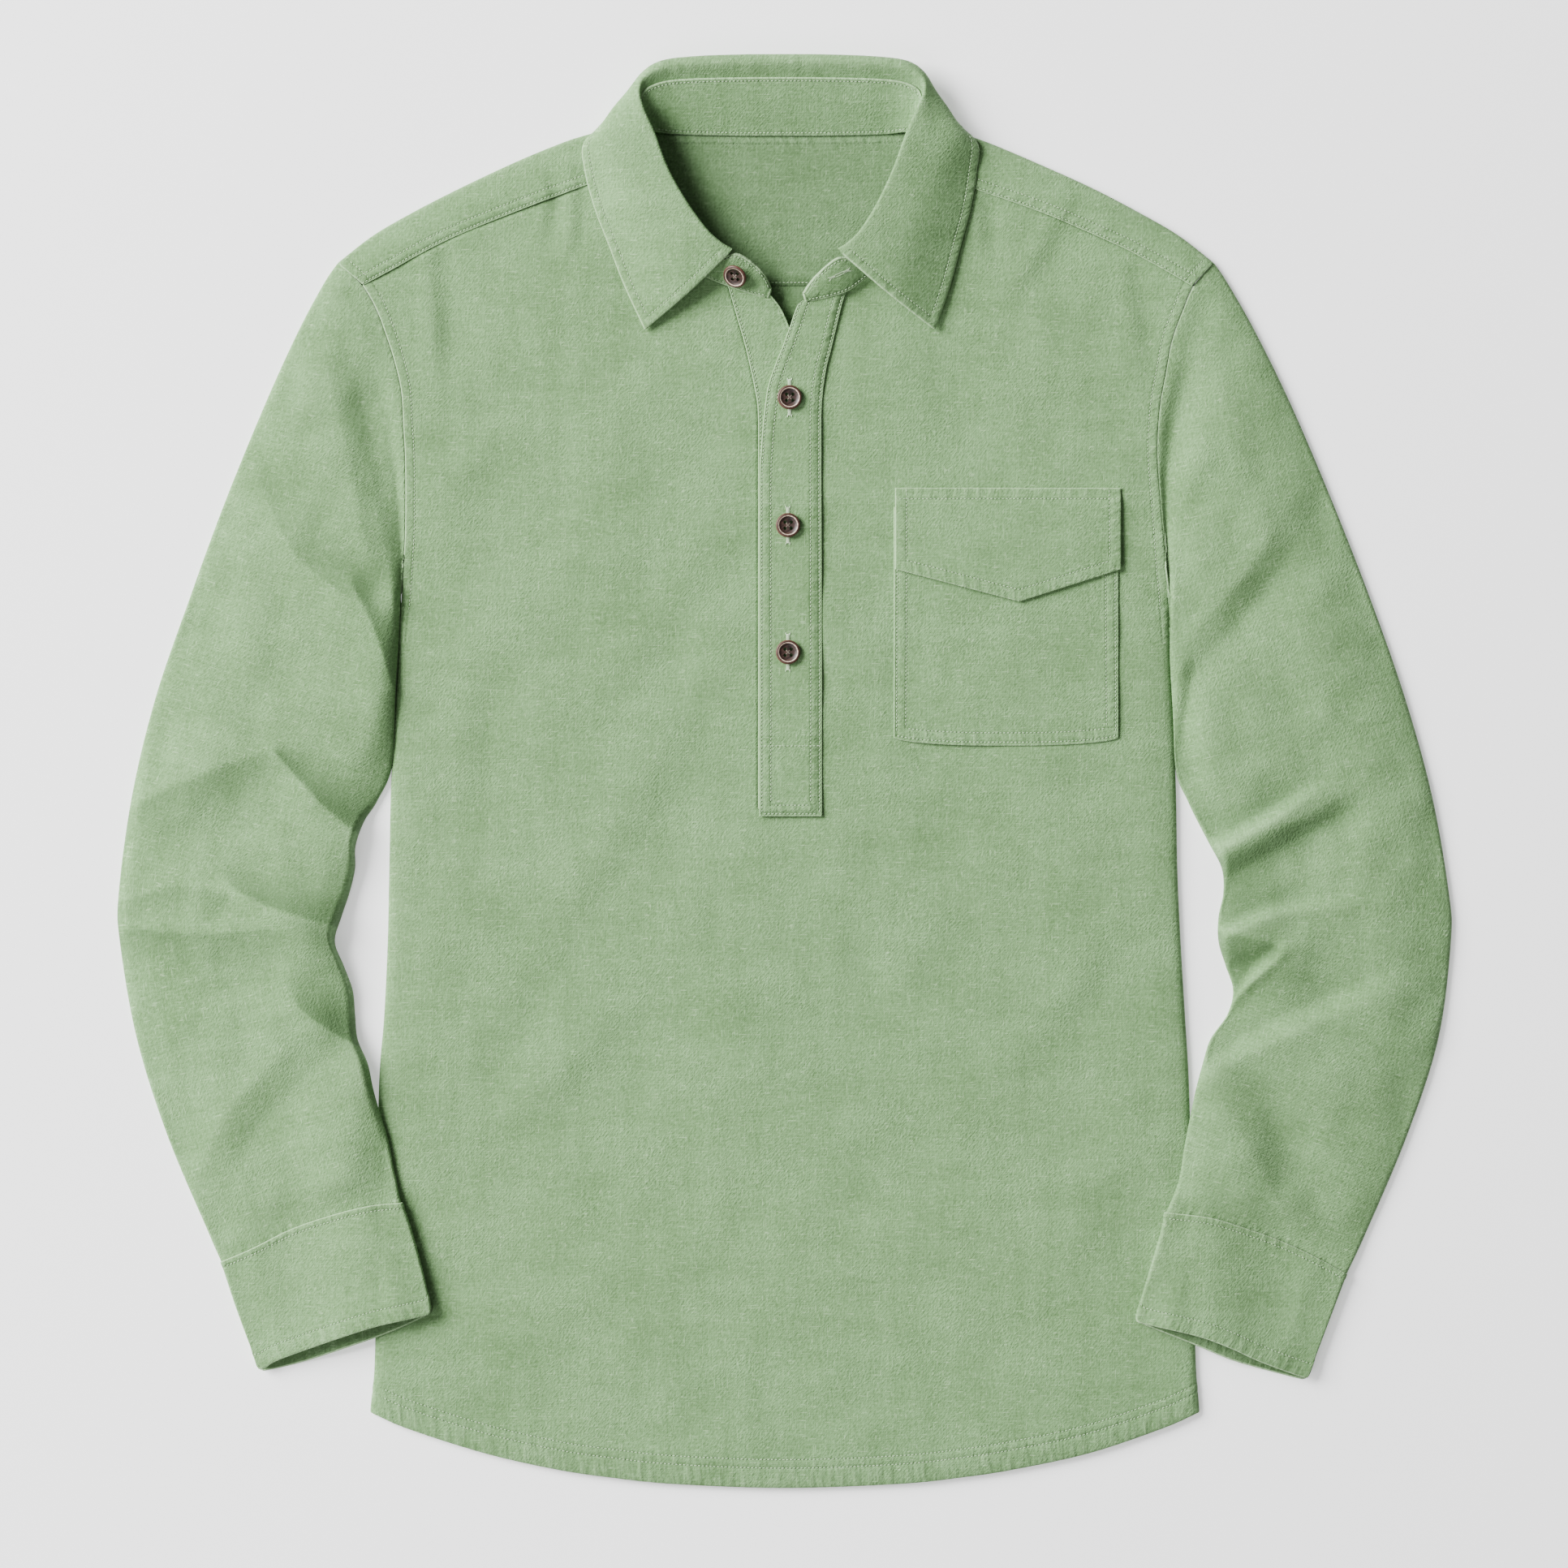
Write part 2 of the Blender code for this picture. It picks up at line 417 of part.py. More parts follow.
def front_surface(across, up):
    """across: 0-1 left half, 1-2 slit, 2-3 right half. up: 0-1 hem to slit foot, 1-2 above."""
    slit_left, slit_right = UNDER_OUTER[-1][0], SLIT_RIGHT[-1][0]
    hem_line = dense(HEM)
    low_left, high_left = cut_line(ARMHOLE_LEFT[:-1] + SIDE_LEFT, SLIT_FOOT_Y)
    low_right, high_right = cut_line(ARMHOLE_RIGHT[:-1] + SIDE_RIGHT, SLIT_FOOT_Y)
    high_left = high_left[high_left[:, 1] <= FORWARD_LEFT[0][1]]
    high_right = high_right[high_right[:, 1] <= FORWARD_RIGHT[0][1]]
    marks = [low_left[0, 0], slit_left, slit_right, low_right[0, 0]]
    foot = [[(marks[k], SLIT_FOOT_Y), (marks[k + 1], SLIT_FOOT_Y)] for k in range(3)]
    hem_marks = [HEM[0][0], slit_left, slit_right, HEM[-1][0]]
    hem = []
    for k in range(3):
        inside = (hem_line[:, 0] > hem_marks[k] + 1.0) & (hem_line[:, 0] < hem_marks[k + 1] - 1.0)
        ends = [[(hem_marks[j], float(hem_y_at(hem_marks[j])))] for j in (k, k + 1)]
        hem.append(np.vstack([ends[0], hem_line[inside], ends[1]]))
    inner_low = [[(x, float(hem_y_at(x))), (x, SLIT_FOOT_Y)] for x in (slit_left, slit_right)]
    low_edges = [low_left[::-1], inner_low[0], inner_low[1], low_right[::-1]]
    high_edges = [high_left[::-1], UNDER_OUTER[::-1], SLIT_RIGHT[::-1], high_right[::-1]]
    top = [np.vstack([dense(FORWARD_LEFT), dense(NECK_LEFT)[1:]]),
           [UNDER_OUTER[0], SLIT_RIGHT[0]],
           np.vstack([dense(FORWARD_RIGHT), dense(NECK_RIGHT)[1:]])[::-1]]
    plan = np.zeros((len(across), 2))
    for zone in range(3):
        for band, edges, low, high in ((0, low_edges, hem, foot), (1, high_edges, foot, top)):
            here = ((np.clip(np.floor(across), 0, 2) == zone)
                    & (np.clip(np.floor(up), 0, 1) == band))
            if here.any():
                plan[here] = four_sided(edges[zone], edges[zone + 1], low[zone], high[zone],
                                        across[here] - zone, up[here] - band)
    x, y = plan[:, 0], plan[:, 1]
    return np.column_stack([x, y, front_top(x, y)])


def build_front():
    """One front with the slit of the placket; its sides lie on the back's sides."""
    half = stations(12, 0.012, 0.04)
    across = np.concatenate([half, [1.5], 3.0 - half[::-1]])
    lower = stations(12, 0.012, 0.04)
    upper = 1.0 + np.linspace(0.0, 1.0, 14)[1:]
    up = np.concatenate([lower, upper])
    return cloth("front", across, up, front_surface,
                 keep=lambda a, b: not (1.0 < a < 2.0 and b > 1.0))


def yoke_surface(across, up):
    """across: 0-1 left shoulder, 1-2 neck, 2-3 right. up: 0-1 back, 1-2 fold, 2-3 strip."""
    back_left = float(x_at(ARMHOLE_LEFT, YOKE_SEAM_Y)) + SEAM
    back_right = float(x_at(ARMHOLE_RIGHT, YOKE_SEAM_Y)) - SEAM
    inner_left, inner_right = SHOULDER_LEFT[-1][0], SHOULDER_RIGHT[-1][0]
    places = []
    for a, b in zip(across, up):
        seam_x = np.interp(a, [0, 1, 2, 3], [back_left, inner_left, inner_right, back_right])
        seam = np.array([seam_x, YOKE_SEAM_Y])
        if 1.0 < a < 2.0:
            edge = along(NECK_BACK, [a - 1.0])[0]
            places.append((*(seam + min(b, 1.0) * (edge - seam)), 0.0))
            continue
        rows = SHOULDER_LEFT if a <= 1.0 else SHOULDER_RIGHT
        strip = FORWARD_LEFT if a <= 1.0 else FORWARD_RIGHT
        share = a if a <= 1.0 else 3.0 - a
        tip = along(rows, [share])[0]
        ahead = along(rows, [min(share + 0.02, 1.0)])[0] - along(rows, [max(share - 0.02, 0.0)])[0]
        out = np.array([-ahead[1], ahead[0]]) / np.linalg.norm(ahead)
        out = out if out[1] > 0.0 else -out
        if b <= 1.0:
            fold_start = tip - SHOULDER_ROLL * out
            places.append((*(seam + b * (fold_start - seam)), 0.0))
        elif b <= 2.0:
            turn = math.pi * (b - 1.5)
            flat = tip - SHOULDER_ROLL * (1.0 - math.cos(turn)) * out
            places.append((*flat, 0.5 * SHOULDER_TOP * (1.0 + math.sin(turn))))
        else:
            fold_end = tip - SHOULDER_ROLL * out
            seam_end = along(strip, [share])[0] + 2 * SEAM * out
            flat = fold_end + (b - 2.0) * (seam_end - fold_end)
            high = float(front_top(seam_end[:1], seam_end[1:])[0])
            places.append((*flat, SHOULDER_TOP + (b - 2.0) * (high - SHOULDER_TOP)))
    return np.array(places)


def build_yoke():
    """The yoke lies under the neck, folds over both shoulders and ends in front of them."""
    side = np.linspace(0.0, 1.0, 13)
    across = np.concatenate([side, 1.0 + np.linspace(0.0, 1.0, 11)[1:-1], 2.0 + side])
    up = np.concatenate([np.linspace(0.0, 1.0, 3), 1.0 + np.linspace(0.0, 1.0, 5)[1:],
                         2.0 + np.linspace(0.0, 1.0, 4)[1:]])
    return cloth("yoke", across, up, yoke_surface, colour=SAGE_DEEP, flip=True,
                 keep=lambda a, b: not (1.0 < a < 2.0 and b > 1.0))


# ---------------------------------------------------------------- placket, pocket, flap

def on_front(plan, raise_by):
    x, y = plan[:, 0], plan[:, 1]
    return np.column_stack([x, y, front_top(x, y) + raise_by])


def build_under_placket():
    """The under band fills the slit, level with the front; it shows in the open neck."""
    left = [(x + 2 * SEAM, y) for x, y in UNDER_OUTER]
    low = [(left[-1][0], SLIT_FOOT_Y + 2 * SEAM), (UNDER_INNER[-1][0], SLIT_FOOT_Y + 2 * SEAM)]
    left[-1] = low[0]
    right = UNDER_INNER[:-1] + [low[1]]
    high = [left[0], right[0]]

    def surface(across, up):
        return on_front(four_sided(left[::-1], right[::-1], low, high, across, up), 0.0)
    return cloth("under_placket", np.linspace(0, 1, 4), np.linspace(0, 1, 25), surface)


def build_placket():
    """The buttonhole band lies over the under band, from the collar to its boxed foot."""
    low = [BAND_LEFT[-1], BAND_RIGHT[-1]]
    high = [BAND_LEFT[0], BAND_RIGHT[0]]

    def surface(across, up):
        plan = four_sided(BAND_LEFT[::-1], BAND_RIGHT[::-1], low, high, across, up)
        return on_front(plan, CLOTH + LAY)
    return cloth("placket", np.linspace(0, 1, 5), np.linspace(0, 1, 27), surface)


def pocket_foot(share):
    """Foot of the pocket: level in the middle, rising to the two corners."""
    return POCKET_FOOT - POCKET_BELLY * round_off(np.minimum(share, 1.0 - share) / 0.45)


def build_pocket():
    """The patch pocket lies on the front, with its opening under the flap."""
    def surface(across, up):
        x = POCKET_LEFT + across * (POCKET_RIGHT - POCKET_LEFT)
        foot = pocket_foot(across)
        return on_front(np.column_stack([x, foot + up * (POCKET_TOP - foot)]), CLOTH + LAY)
    return cloth("pocket", both_ends(8, 0.04), np.linspace(0, 1, 10), surface, SAGE_LIT)


def build_flap():
    """The pointed flap, sewn down along its top and lying over the pocket's mouth."""
    def surface(across, up):
        x = FLAP_LEFT + across * (FLAP_RIGHT - FLAP_LEFT)
        foot = np.interp(x, [FLAP_LEFT, FLAP_POINT_X, FLAP_RIGHT],
                         [FLAP_SIDE_FOOT, FLAP_POINT, FLAP_SIDE_FOOT])
        y = foot + up * (FLAP_TOP - foot)
        over_pocket = smoothstep((FLAP_TOP - 2.0 - y) / 7.0)
        lift = COLLAR_CLOTH + LAY + over_pocket * (CLOTH + LAY)
        return on_front(np.column_stack([x, y]), 0.0) + lift[:, None] * np.array([0, 0, 1.0])
    point = (FLAP_POINT_X - FLAP_LEFT) / (FLAP_RIGHT - FLAP_LEFT)
    across = np.concatenate([np.linspace(0, point, 6), np.linspace(point, 1, 5)[1:]])
    up = np.array([0.0, 0.22, 0.45, 0.68, 0.84, 0.9, 0.95, 1.0])
    return cloth("pocket_flap", across, up, surface, SAGE_LIT, wall=COLLAR_CLOTH)


# ---------------------------------------------------------------- collar

def right_half(rows, lifted):
    """Mirrors sections to the right, where the collar leans a little and ends higher.

    The first `lifted` points of each section rise with the thicker band under them.
    """
    rows = np.array(rows, float)
    lift = RIGHT_END_LIFT * smoothstep((RIGHT_LIFT_Y - rows[:, 1]) / 20.0)
    for k in range(0, rows.shape[1], 3):
        shift = np.interp(rows[:, k + 1], COLLAR_SHIFT_Y, COLLAR_SHIFT_X)
        rows[:, k] = -rows[:, k] + shift
        if k < 3 * lifted:
            rows[:, k + 2] += lift
    return rows


def collar_sections():
    """All the sections from the left point round the back to the right point."""
    left = np.array(COLLAR)
    return np.vstack([left[::-1], right_half(left, 3)[1:]])


def stand_sections():
    """Foot and top of the stand, from its left end round the back to its right end."""
    rows = np.array(COLLAR)
    share = np.array(STAND_SHARE)[:, None]
    foot, fold = rows[:, 0:3], rows[:, 3:6]
    top = foot + share * (fold - foot)
    half = np.vstack([np.hstack([foot, top]), np.array(STAND_END)])
    return np.vstack([half[::-1], right_half(half, 2)[1:]])


def stand_surface(across, up):
    rows = stand_sections()
    section = spline_at(rows, across * (len(rows) - 1))
    foot, top = section[:, 0:3], section[:, 3:6]
    bow = np.sin(math.pi * up)[:, None] * np.array([0.0, 0.0, 0.6])
    return foot + up[:, None] * (top - foot) + bow


def build_stand():
    """The stand: a narrow band standing up from the neckline, leaning out at the back."""
    across = np.linspace(0.0, 1.0, 57)
    thing = cloth("collar_stand", across, np.linspace(0, 1, 4), stand_surface,
                  SAGE_DEEP, wall=COLLAR_CLOTH)
    thing.modifiers["wall"].offset = 0.0
    return thing


def leaf_surface(across, up):
    """From the stand's top over the fold and the swell to the leaf's free edge."""
    rows = collar_sections()
    section = spline_at(rows, across * (len(rows) - 1))
    share = np.array(STAND_SHARE)
    share = np.concatenate([share[::-1], share[1:]])[:, None]
    begin = spline_at(share, across * (len(rows) - 1)) + LEAF_START
    foot, fold, swell, edge = (section[:, k:k + 3] for k in (0, 3, 6, 9))
    start = foot + begin * (fold - foot)
    places = np.zeros((len(across), 3))
    for k, (a, b) in enumerate(zip(range(len(across)), up)):
        places[k] = spline_at([start[a], fold[a], swell[a], edge[a]], np.array(3.0 * b))
    return places


def build_leaf():
    """The leaf folds over the stand and lies on the front, its back part under itself."""
    across = np.linspace(0.0, 1.0, 45)
    up = np.array([0.0, 0.18, 0.33, 0.45, 0.57, 0.7, 0.85, 1.0])
    thing = cloth("collar_leaf", across, up, leaf_surface, SAGE_LIT, wall=COLLAR_CLOTH)
    thing.modifiers["wall"].offset = 0.0
    return thing


# ---------------------------------------------------------------- sleeves and cuffs

def body_lift(x, y, side):
    """How high a sleeve is carried where it crosses the body's side; side is -1 or 1."""
    edge = x_at(SIDE_LEFT if side < 0 else SIDE_RIGHT, y)
    inside = (edge - x) * side
    ramp = smoothstep((inside + 20.0) / 14.0) * smoothstep((-134.0 - y) / 40.0)
    under = front_top(np.where(inside < 0.0, edge - side * 0.1, x), y)
    return ramp * (under + OVER)


def tube_surface(top_plan, under_plan, profile, side):
    """Surface of a flattened tube: 0-1 goes over the top, 1-2 comes back underneath."""
    def surface(across, up):
        over = across <= 1.0
        u = np.where(over, across, 2.0 - across)
        plan = np.where(over[:, None], top_plan(u, up), under_plan(u, up))
        width = np.linalg.norm(top_plan(np.ones_like(u), up)
                               - top_plan(np.zeros_like(u), up), axis=1)
        from_edge = np.minimum(u, 1.0 - u) * width
        x, y = plan[:, 0], plan[:, 1]
        from_underarm = np.hypot(x - side * UNDERARM_X, y - UNDERARM_Y)
        base = body_lift(x, y, side) + UNDERARM_LIFT * (1.0 - smoothstep(from_underarm / 16.0))
        edge, rise, folds = profile(x, y, from_edge, up)
        roll = round_off(from_edge / SLEEVE_ROLL)
        height = 0.5 * edge * (1.0 + roll) + rise + folds
        height = np.maximum(height, 3.0 * np.where(roll > 0.5, 1.0, 0.6))
        under = 0.5 * edge * (1.0 - roll)
        return np.column_stack([x, y, base + np.where(over, height, under)])
    return surface


def tube_stations(top_count, under_count):
    """Stations round a flattened tube, closer together at its two rolled edges."""
    over = both_ends(top_count, 0.012, 0.03)
    under = 2.0 - both_ends(under_count, 0.012, 0.03)[::-1]
    return np.concatenate([over, under[1:-1], [2.0]])


def shift_line(rows, dx, dy):
    return [(x + dx, y + dy) for x, y in rows]


def clear_of_body(armhole, side):
    """The sleeve's side of the armhole seam, further off where its rolled edge starts."""
    armhole = np.array(armhole)
    near_underarm = smoothstep((UNDERARM_Y + 34.0 - armhole[:, 1]) / 30.0)
    armhole[:, 0] += side * (3 * SEAM + CLOTH * near_underarm)
    armhole[:, 1] -= SEAM
    return [tuple(row) for row in armhole]


def build_sleeve(name, side, armhole, outer, inner, cuff_seam, folds):
    """A sleeve: a flattened tube from the armhole to the cuff seam, open at both ends."""
    armhole = clear_of_body(armhole, side)
    outer = [armhole[0]] + outer[1:]
    inner = [armhole[-1]] + inner[1:]
    cuff_seam = shift_line(cuff_seam, 0.0, SEAM)
    outer[-1], inner[-1] = cuff_seam[0], cuff_seam[-1]

    def plan(u, s):
        return four_sided(outer, inner, armhole, cuff_seam, u, s)

    def profile(x, y, from_edge, s):
        near_armhole = smoothstep(s / 0.10)
        near_cuff = smoothstep((1.0 - s) / 0.05)
        body = front_top(x, y) - SLEEVE_EDGE
        dome = SLEEVE_RISE * (1.0 - (1.0 - np.clip(from_edge / 45.0, 0, 1)) ** 2)
        rise = near_armhole * near_cuff * dome + (1.0 - near_armhole) * np.minimum(body, dome)
        rise = rise + (1.0 - near_cuff) * 0.5 * CUFF_RISE * np.clip(from_edge / 20.0, 0, 1)
        crease = fold_height(folds, x, y) * np.clip(from_edge / 8.0, 0.0, 1.0)
        edge = CUFF_EDGE + near_cuff * (SLEEVE_EDGE - CUFF_EDGE)
        return edge, rise, crease * smoothstep(s / 0.04) * near_cuff

    surface = tube_surface(plan, plan, profile, side)
    return cloth(name, tube_stations(9, 4), np.linspace(0.0, 1.0, 31), surface,
                 SAGE, flip=side < 0)


def build_cuff(name, side, seam, outer, inner, mouth_top, mouth_under):
    """A cuff: a short flattened tube whose upper mouth edge draws back from the lower."""
    seam = shift_line(seam, 0.0, -SEAM)
    outer = [seam[0]] + outer[1:]
    inner = [seam[-1]] + inner[1:]

    def top_plan(u, s):
        return four_sided(outer, inner, seam, mouth_top, u, s)

    def under_plan(u, s):
        return four_sided(outer, inner, seam, mouth_under, u, s)

    def profile(x, y, from_edge, s):
        dome = CUFF_RISE * np.clip(from_edge / 20.0, 0.0, 1.0)
        return np.full_like(x, CUFF_EDGE), dome, np.zeros_like(x)

    surface = tube_surface(top_plan, under_plan, profile, side)
    return cloth(name, tube_stations(9, 4), np.linspace(0.0, 1.0, 6), surface,
                 SAGE_LIT, flip=side < 0)


# ---------------------------------------------------------------- buttons

def button_mesh():
    """A four-hole button: a turned disc with a raised rim and a dished middle."""
    profile = [(0.0, 0.0), (5.6, 0.0), (BUTTON_RADIUS, 1.0), (6.3, 2.1),
               (5.3, BUTTON_HEIGHT), (4.0, 1.5), (0.0, 1.4)]
    bm = bmesh.new()
    verts = [bm.verts.new((r * MM, 0.0, z * MM)) for r, z in profile]
    edges = [bm.edges.new(pair) for pair in zip(verts, verts[1:])]
    bmesh.ops.spin(bm, geom=verts + edges, cent=(0, 0, 0), axis=(0, 0, 1),
                   angle=2 * math.pi, steps=16, use_merge=True)
    bmesh.ops.remove_doubles(bm, verts=bm.verts, dist=1e-6)
    bmesh.ops.recalc_face_normals(bm, faces=bm.faces)
    return bm


def build_button(name, place):
    """A button at a place given by its matrix, with its four thread holes cut through."""
    bm = button_mesh()
    bmesh.ops.transform(bm, matrix=place, verts=bm.verts)
    thing = add_object(name, bm, BUTTON_BROWN, 0.4)
    holes = bmesh.new()
    for k in range(4):
        turn = math.radians(45.0 + 90.0 * k)
        spot = Vector((math.cos(turn), math.sin(turn), 0.0)) * BUTTON_HOLE_OUT * MM
        drill = Matrix.Translation(spot + Vector((0, 0, 0.5 * BUTTON_HEIGHT * MM)))
        bmesh.ops.create_cone(holes, cap_ends=True, segments=6, radius1=BUTTON_HOLE * MM,
                              radius2=BUTTON_HOLE * MM, depth=6.0 * MM, matrix=place @ drill)
    cutter = add_object(name + "_drill", holes, BUTTON_BROWN, 0.4)
    cutter.hide_render = True
    cutter.display_type = "WIRE"
    cut = thing.modifiers.new("holes", "BOOLEAN")
    cut.operation = "DIFFERENCE"
    cut.solver = "EXACT"
    cut.object = cutter
    return thing


def build_buttons():
    for k, (x, y) in enumerate(BUTTON_PLACES):
        high = float(front_top(np.array([x]), np.array([y]))[0])
        high += CLOTH + LAY + LAY
        place = Matrix.Translation(Vector((x, y, high)) * MM)
        build_button(f"button_{k + 1}", place)
    step = 0.01
    a, b = STAND_BUTTON_ALONG, STAND_BUTTON_UP
    spots = stand_surface(np.array([a, a + step, a]), np.array([b, b, b + step]))
    middle, ahead, above = (Vector(spot) for spot in spots)
    normal = (ahead - middle).cross(above - middle).normalized()
    normal = normal if normal.z > 0.0 else -normal
    spot = middle + normal * (0.5 * COLLAR_CLOTH + 2 * LAY)
    turn = Vector((0, 0, 1)).rotation_difference(normal).to_matrix().to_4x4()
    build_button("stand_button", Matrix.Translation(spot * MM) @ turn)


def build_shirt():
    build_back()
    build_yoke()
    build_front()
    build_under_placket()
    build_placket()
    build_pocket()
    build_flap()
    build_stand()
    build_leaf()
    build_sleeve("sleeve_left", -1, ARMHOLE_LEFT, SLEEVE_OUTER_LEFT, SLEEVE_INNER_LEFT,
                 CUFF_SEAM_LEFT, SLEEVE_FOLDS_LEFT)
    build_sleeve("sleeve_right", 1, ARMHOLE_RIGHT, SLEEVE_OUTER_RIGHT, SLEEVE_INNER_RIGHT,
                 CUFF_SEAM_RIGHT, SLEEVE_FOLDS_RIGHT)
    build_cuff("cuff_left", -1, CUFF_SEAM_LEFT, CUFF_OUTER_LEFT, CUFF_INNER_LEFT,
               MOUTH_TOP_LEFT, MOUTH_UNDER_LEFT)
    build_cuff("cuff_right", 1, CUFF_SEAM_RIGHT, CUFF_OUTER_RIGHT, CUFF_INNER_RIGHT,
               MOUTH_TOP_RIGHT, MOUTH_UNDER_RIGHT)
    build_buttons()


for old in list(bpy.data.objects):
    bpy.data.objects.remove(old, do_unlink=True)
build_shirt()
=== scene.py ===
"""A sage green long-sleeved popover shirt, laid flat, seen from straight above.

The sections follow the shirt as it is sewn together. Tables and sizes are in millimetres on
the plan of the laid shirt, with the collar towards +Y and +Z up; meshes are in metres.
Left and right are those seen from above.
"""

import math

import bmesh
import bpy
import numpy as np
from mathutils import Matrix, Vector, noise


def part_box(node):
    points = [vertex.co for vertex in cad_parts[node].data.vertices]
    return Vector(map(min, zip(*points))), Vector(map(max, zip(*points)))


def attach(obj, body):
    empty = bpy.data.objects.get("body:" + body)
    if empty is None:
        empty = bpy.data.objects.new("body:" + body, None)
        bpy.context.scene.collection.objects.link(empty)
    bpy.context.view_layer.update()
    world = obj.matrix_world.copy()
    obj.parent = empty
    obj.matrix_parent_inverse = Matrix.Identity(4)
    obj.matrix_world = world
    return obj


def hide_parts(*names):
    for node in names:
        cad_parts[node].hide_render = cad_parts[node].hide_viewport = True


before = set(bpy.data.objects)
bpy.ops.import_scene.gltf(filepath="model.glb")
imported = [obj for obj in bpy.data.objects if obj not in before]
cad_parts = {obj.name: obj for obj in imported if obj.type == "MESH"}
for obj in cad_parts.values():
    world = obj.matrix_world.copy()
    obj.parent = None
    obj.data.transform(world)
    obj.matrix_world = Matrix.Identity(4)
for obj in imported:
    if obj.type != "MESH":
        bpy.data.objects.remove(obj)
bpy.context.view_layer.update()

# ---------------------------------------------------------------- the back panel
# The back is one flat piece from the yoke seam down to the curved hem; the shirt rests on
# it. Like every cloth piece it is cut from a washed plain weave of cotton and linen, dyed
# sage green and lightly brushed, so that single threads show paler and darker.

MM = 0.001
CLOTH = 1.0             # thickness of the cloth
SEAM = 0.3              # gap between two pieces that meet in a seam
BACK_INSET = 2.2        # how far the back's edges lie inside the front's
BACK_CORNER = 8.0       # how far its top corners reach out to the armhole seams
YOKE_SEAM_Y = 270.9
UNDERARM_Y = 96.0
ARMHOLE_LEFT = [
    (-247.5, 282.6), (-241.2, 276.9), (-233.6, 269.6), (-226.3, 256.9), (-221.0, 243.0),
    (-216.5, 229.1), (-212.4, 211.5), (-211.3, 192.6), (-210.2, 172.3), (-210.2, 135.9),
    (-211.2, 116.5), (-212.4, 96.3),
]
ARMHOLE_RIGHT = [
    (237.6, 282.6), (231.8, 276.3), (225.9, 269.1), (220.1, 255.6), (214.2, 239.0), (210.6, 220.1),
    (207.5, 202.5), (206.1, 180.0), (207.0, 160.7), (209.2, 135.5), (210.6, 116.5), (212.4, 96.3),
]
SIDE_LEFT = [
    (-212.4, 96.3), (-213.3, 81.9), (-215.6, 41.4), (-218.2, -5.9), (-219.2, -53.1),
    (-220.1, -93.6), (-222.0, -134.0), (-225.0, -174.6), (-226.2, -250.0), (-227.2, -323.1),
    (-229.5, -354.6),
]
SIDE_RIGHT = [
    (212.4, 96.3), (213.3, 68.4), (215.1, 32.4), (216.9, -12.6), (217.6, -53.1), (219.4, -93.6),
    (221.8, -134.0), (224.1, -174.6), (226.0, -250.0), (227.7, -323.1), (229.5, -354.6),
]
HEM = [
    (-229.5, -354.6), (-208.8, -363.6), (-166.5, -377.1), (-126.9, -386.1), (-96.8, -390.6),
    (-61.6, -394.2), (0.0, -396.4), (63.0, -394.2), (98.1, -390.6), (127.4, -386.1),
    (168.8, -377.1), (208.8, -363.6), (229.5, -354.6),
]

CURVE_STEPS = 14        # steps of a finely stepped curve for each of its points


def spline_through(points, where):
    """Places on a soft curve through the points, at fractional point numbers.

    points is one list of rows, or for each point an array with a row for each place.
    """
    points = np.asarray(points, float)
    where = np.clip(np.asarray(where, float), 0.0, len(points) - 1.0)
    padded = np.concatenate([[2 * points[0] - points[1]], points, [2 * points[-1] - points[-2]]])
    row = np.minimum(where.astype(int), len(points) - 2)
    t = (where - row)[..., None]
    pick = (np.arange(len(row)),) if points.ndim == 3 else ()
    a, b, c, d = (padded[(row + k, *pick)] for k in range(4))
    return 0.5 * (2 * b + (c - a) * t + (2 * a - 5 * b + 4 * c - d) * t ** 2
                  + (3 * b - a - 3 * c + d) * t ** 3)


def dense(rows):
    """A finely stepped copy of the soft curve through rows."""
    return spline_through(rows, np.linspace(0.0, len(rows) - 1.0, CURVE_STEPS * len(rows)))


def along(rows, share):
    """Points at the given shares of a curve's length."""
    line = dense(rows)
    run = np.concatenate([[0.0], np.cumsum(np.linalg.norm(np.diff(line, axis=0), axis=1))])
    return np.stack([np.interp(share, run / run[-1], line[:, k])
                     for k in range(line.shape[1])], axis=-1)


def x_at(rows, y):
    """x of an outline that runs downwards, at the given y."""
    line = dense(rows)[::-1]
    return np.interp(y, line[:, 1], line[:, 0])


def y_at(rows, x):
    """y of an outline that runs to the right, at the given x."""
    line = dense(rows)
    return np.interp(x, line[:, 0], line[:, 1])


def four_sided(start, finish, low, high, across, up):
    """Plan of a piece between four edges: low and high run across, start and finish up."""
    a, b = across[:, None], up[:, None]
    sides = (1 - a) * along(start, up) + a * along(finish, up)
    ends = (1 - b) * along(low, across) + b * along(high, across)
    corners = ((1 - b) * ((1 - a) * along(low, [0.0]) + a * along(low, [1.0]))
               + b * ((1 - a) * along(high, [0.0]) + a * along(high, [1.0])))
    return sides + ends - corners


def smoothstep(value):
    """Rises softly from 0 at 0 to 1 at 1."""
    value = np.clip(value, 0.0, 1.0)
    return value * value * (3.0 - 2.0 * value)


def round_off(value):
    """Rises steeply from 0, like the quarter of a circle, to 1."""
    return np.sqrt(np.clip(1.0 - (1.0 - np.clip(value, 0.0, 1.0)) ** 2, 0.0, 1.0))


MARK_ROOM = 0.45        # how much of a step a mark keeps free on both sides


def stations(length, step, at_start=(), at_end=()):
    """Shares from 0 to 1 of a length, about a step apart, with more near finished edges."""
    marks = np.concatenate([np.array(at_start, float) / length,
                            1.0 - np.array(at_end, float) / length])
    even = np.linspace(0.0, 1.0, max(2, round(length / step)) + 1)
    room = MARK_ROOM * step / length
    inner = [s for s in even[1:-1] if not len(marks) or np.abs(marks - s).min() > room]
    return np.array(sorted([0.0, 1.0, *marks, *inner]))


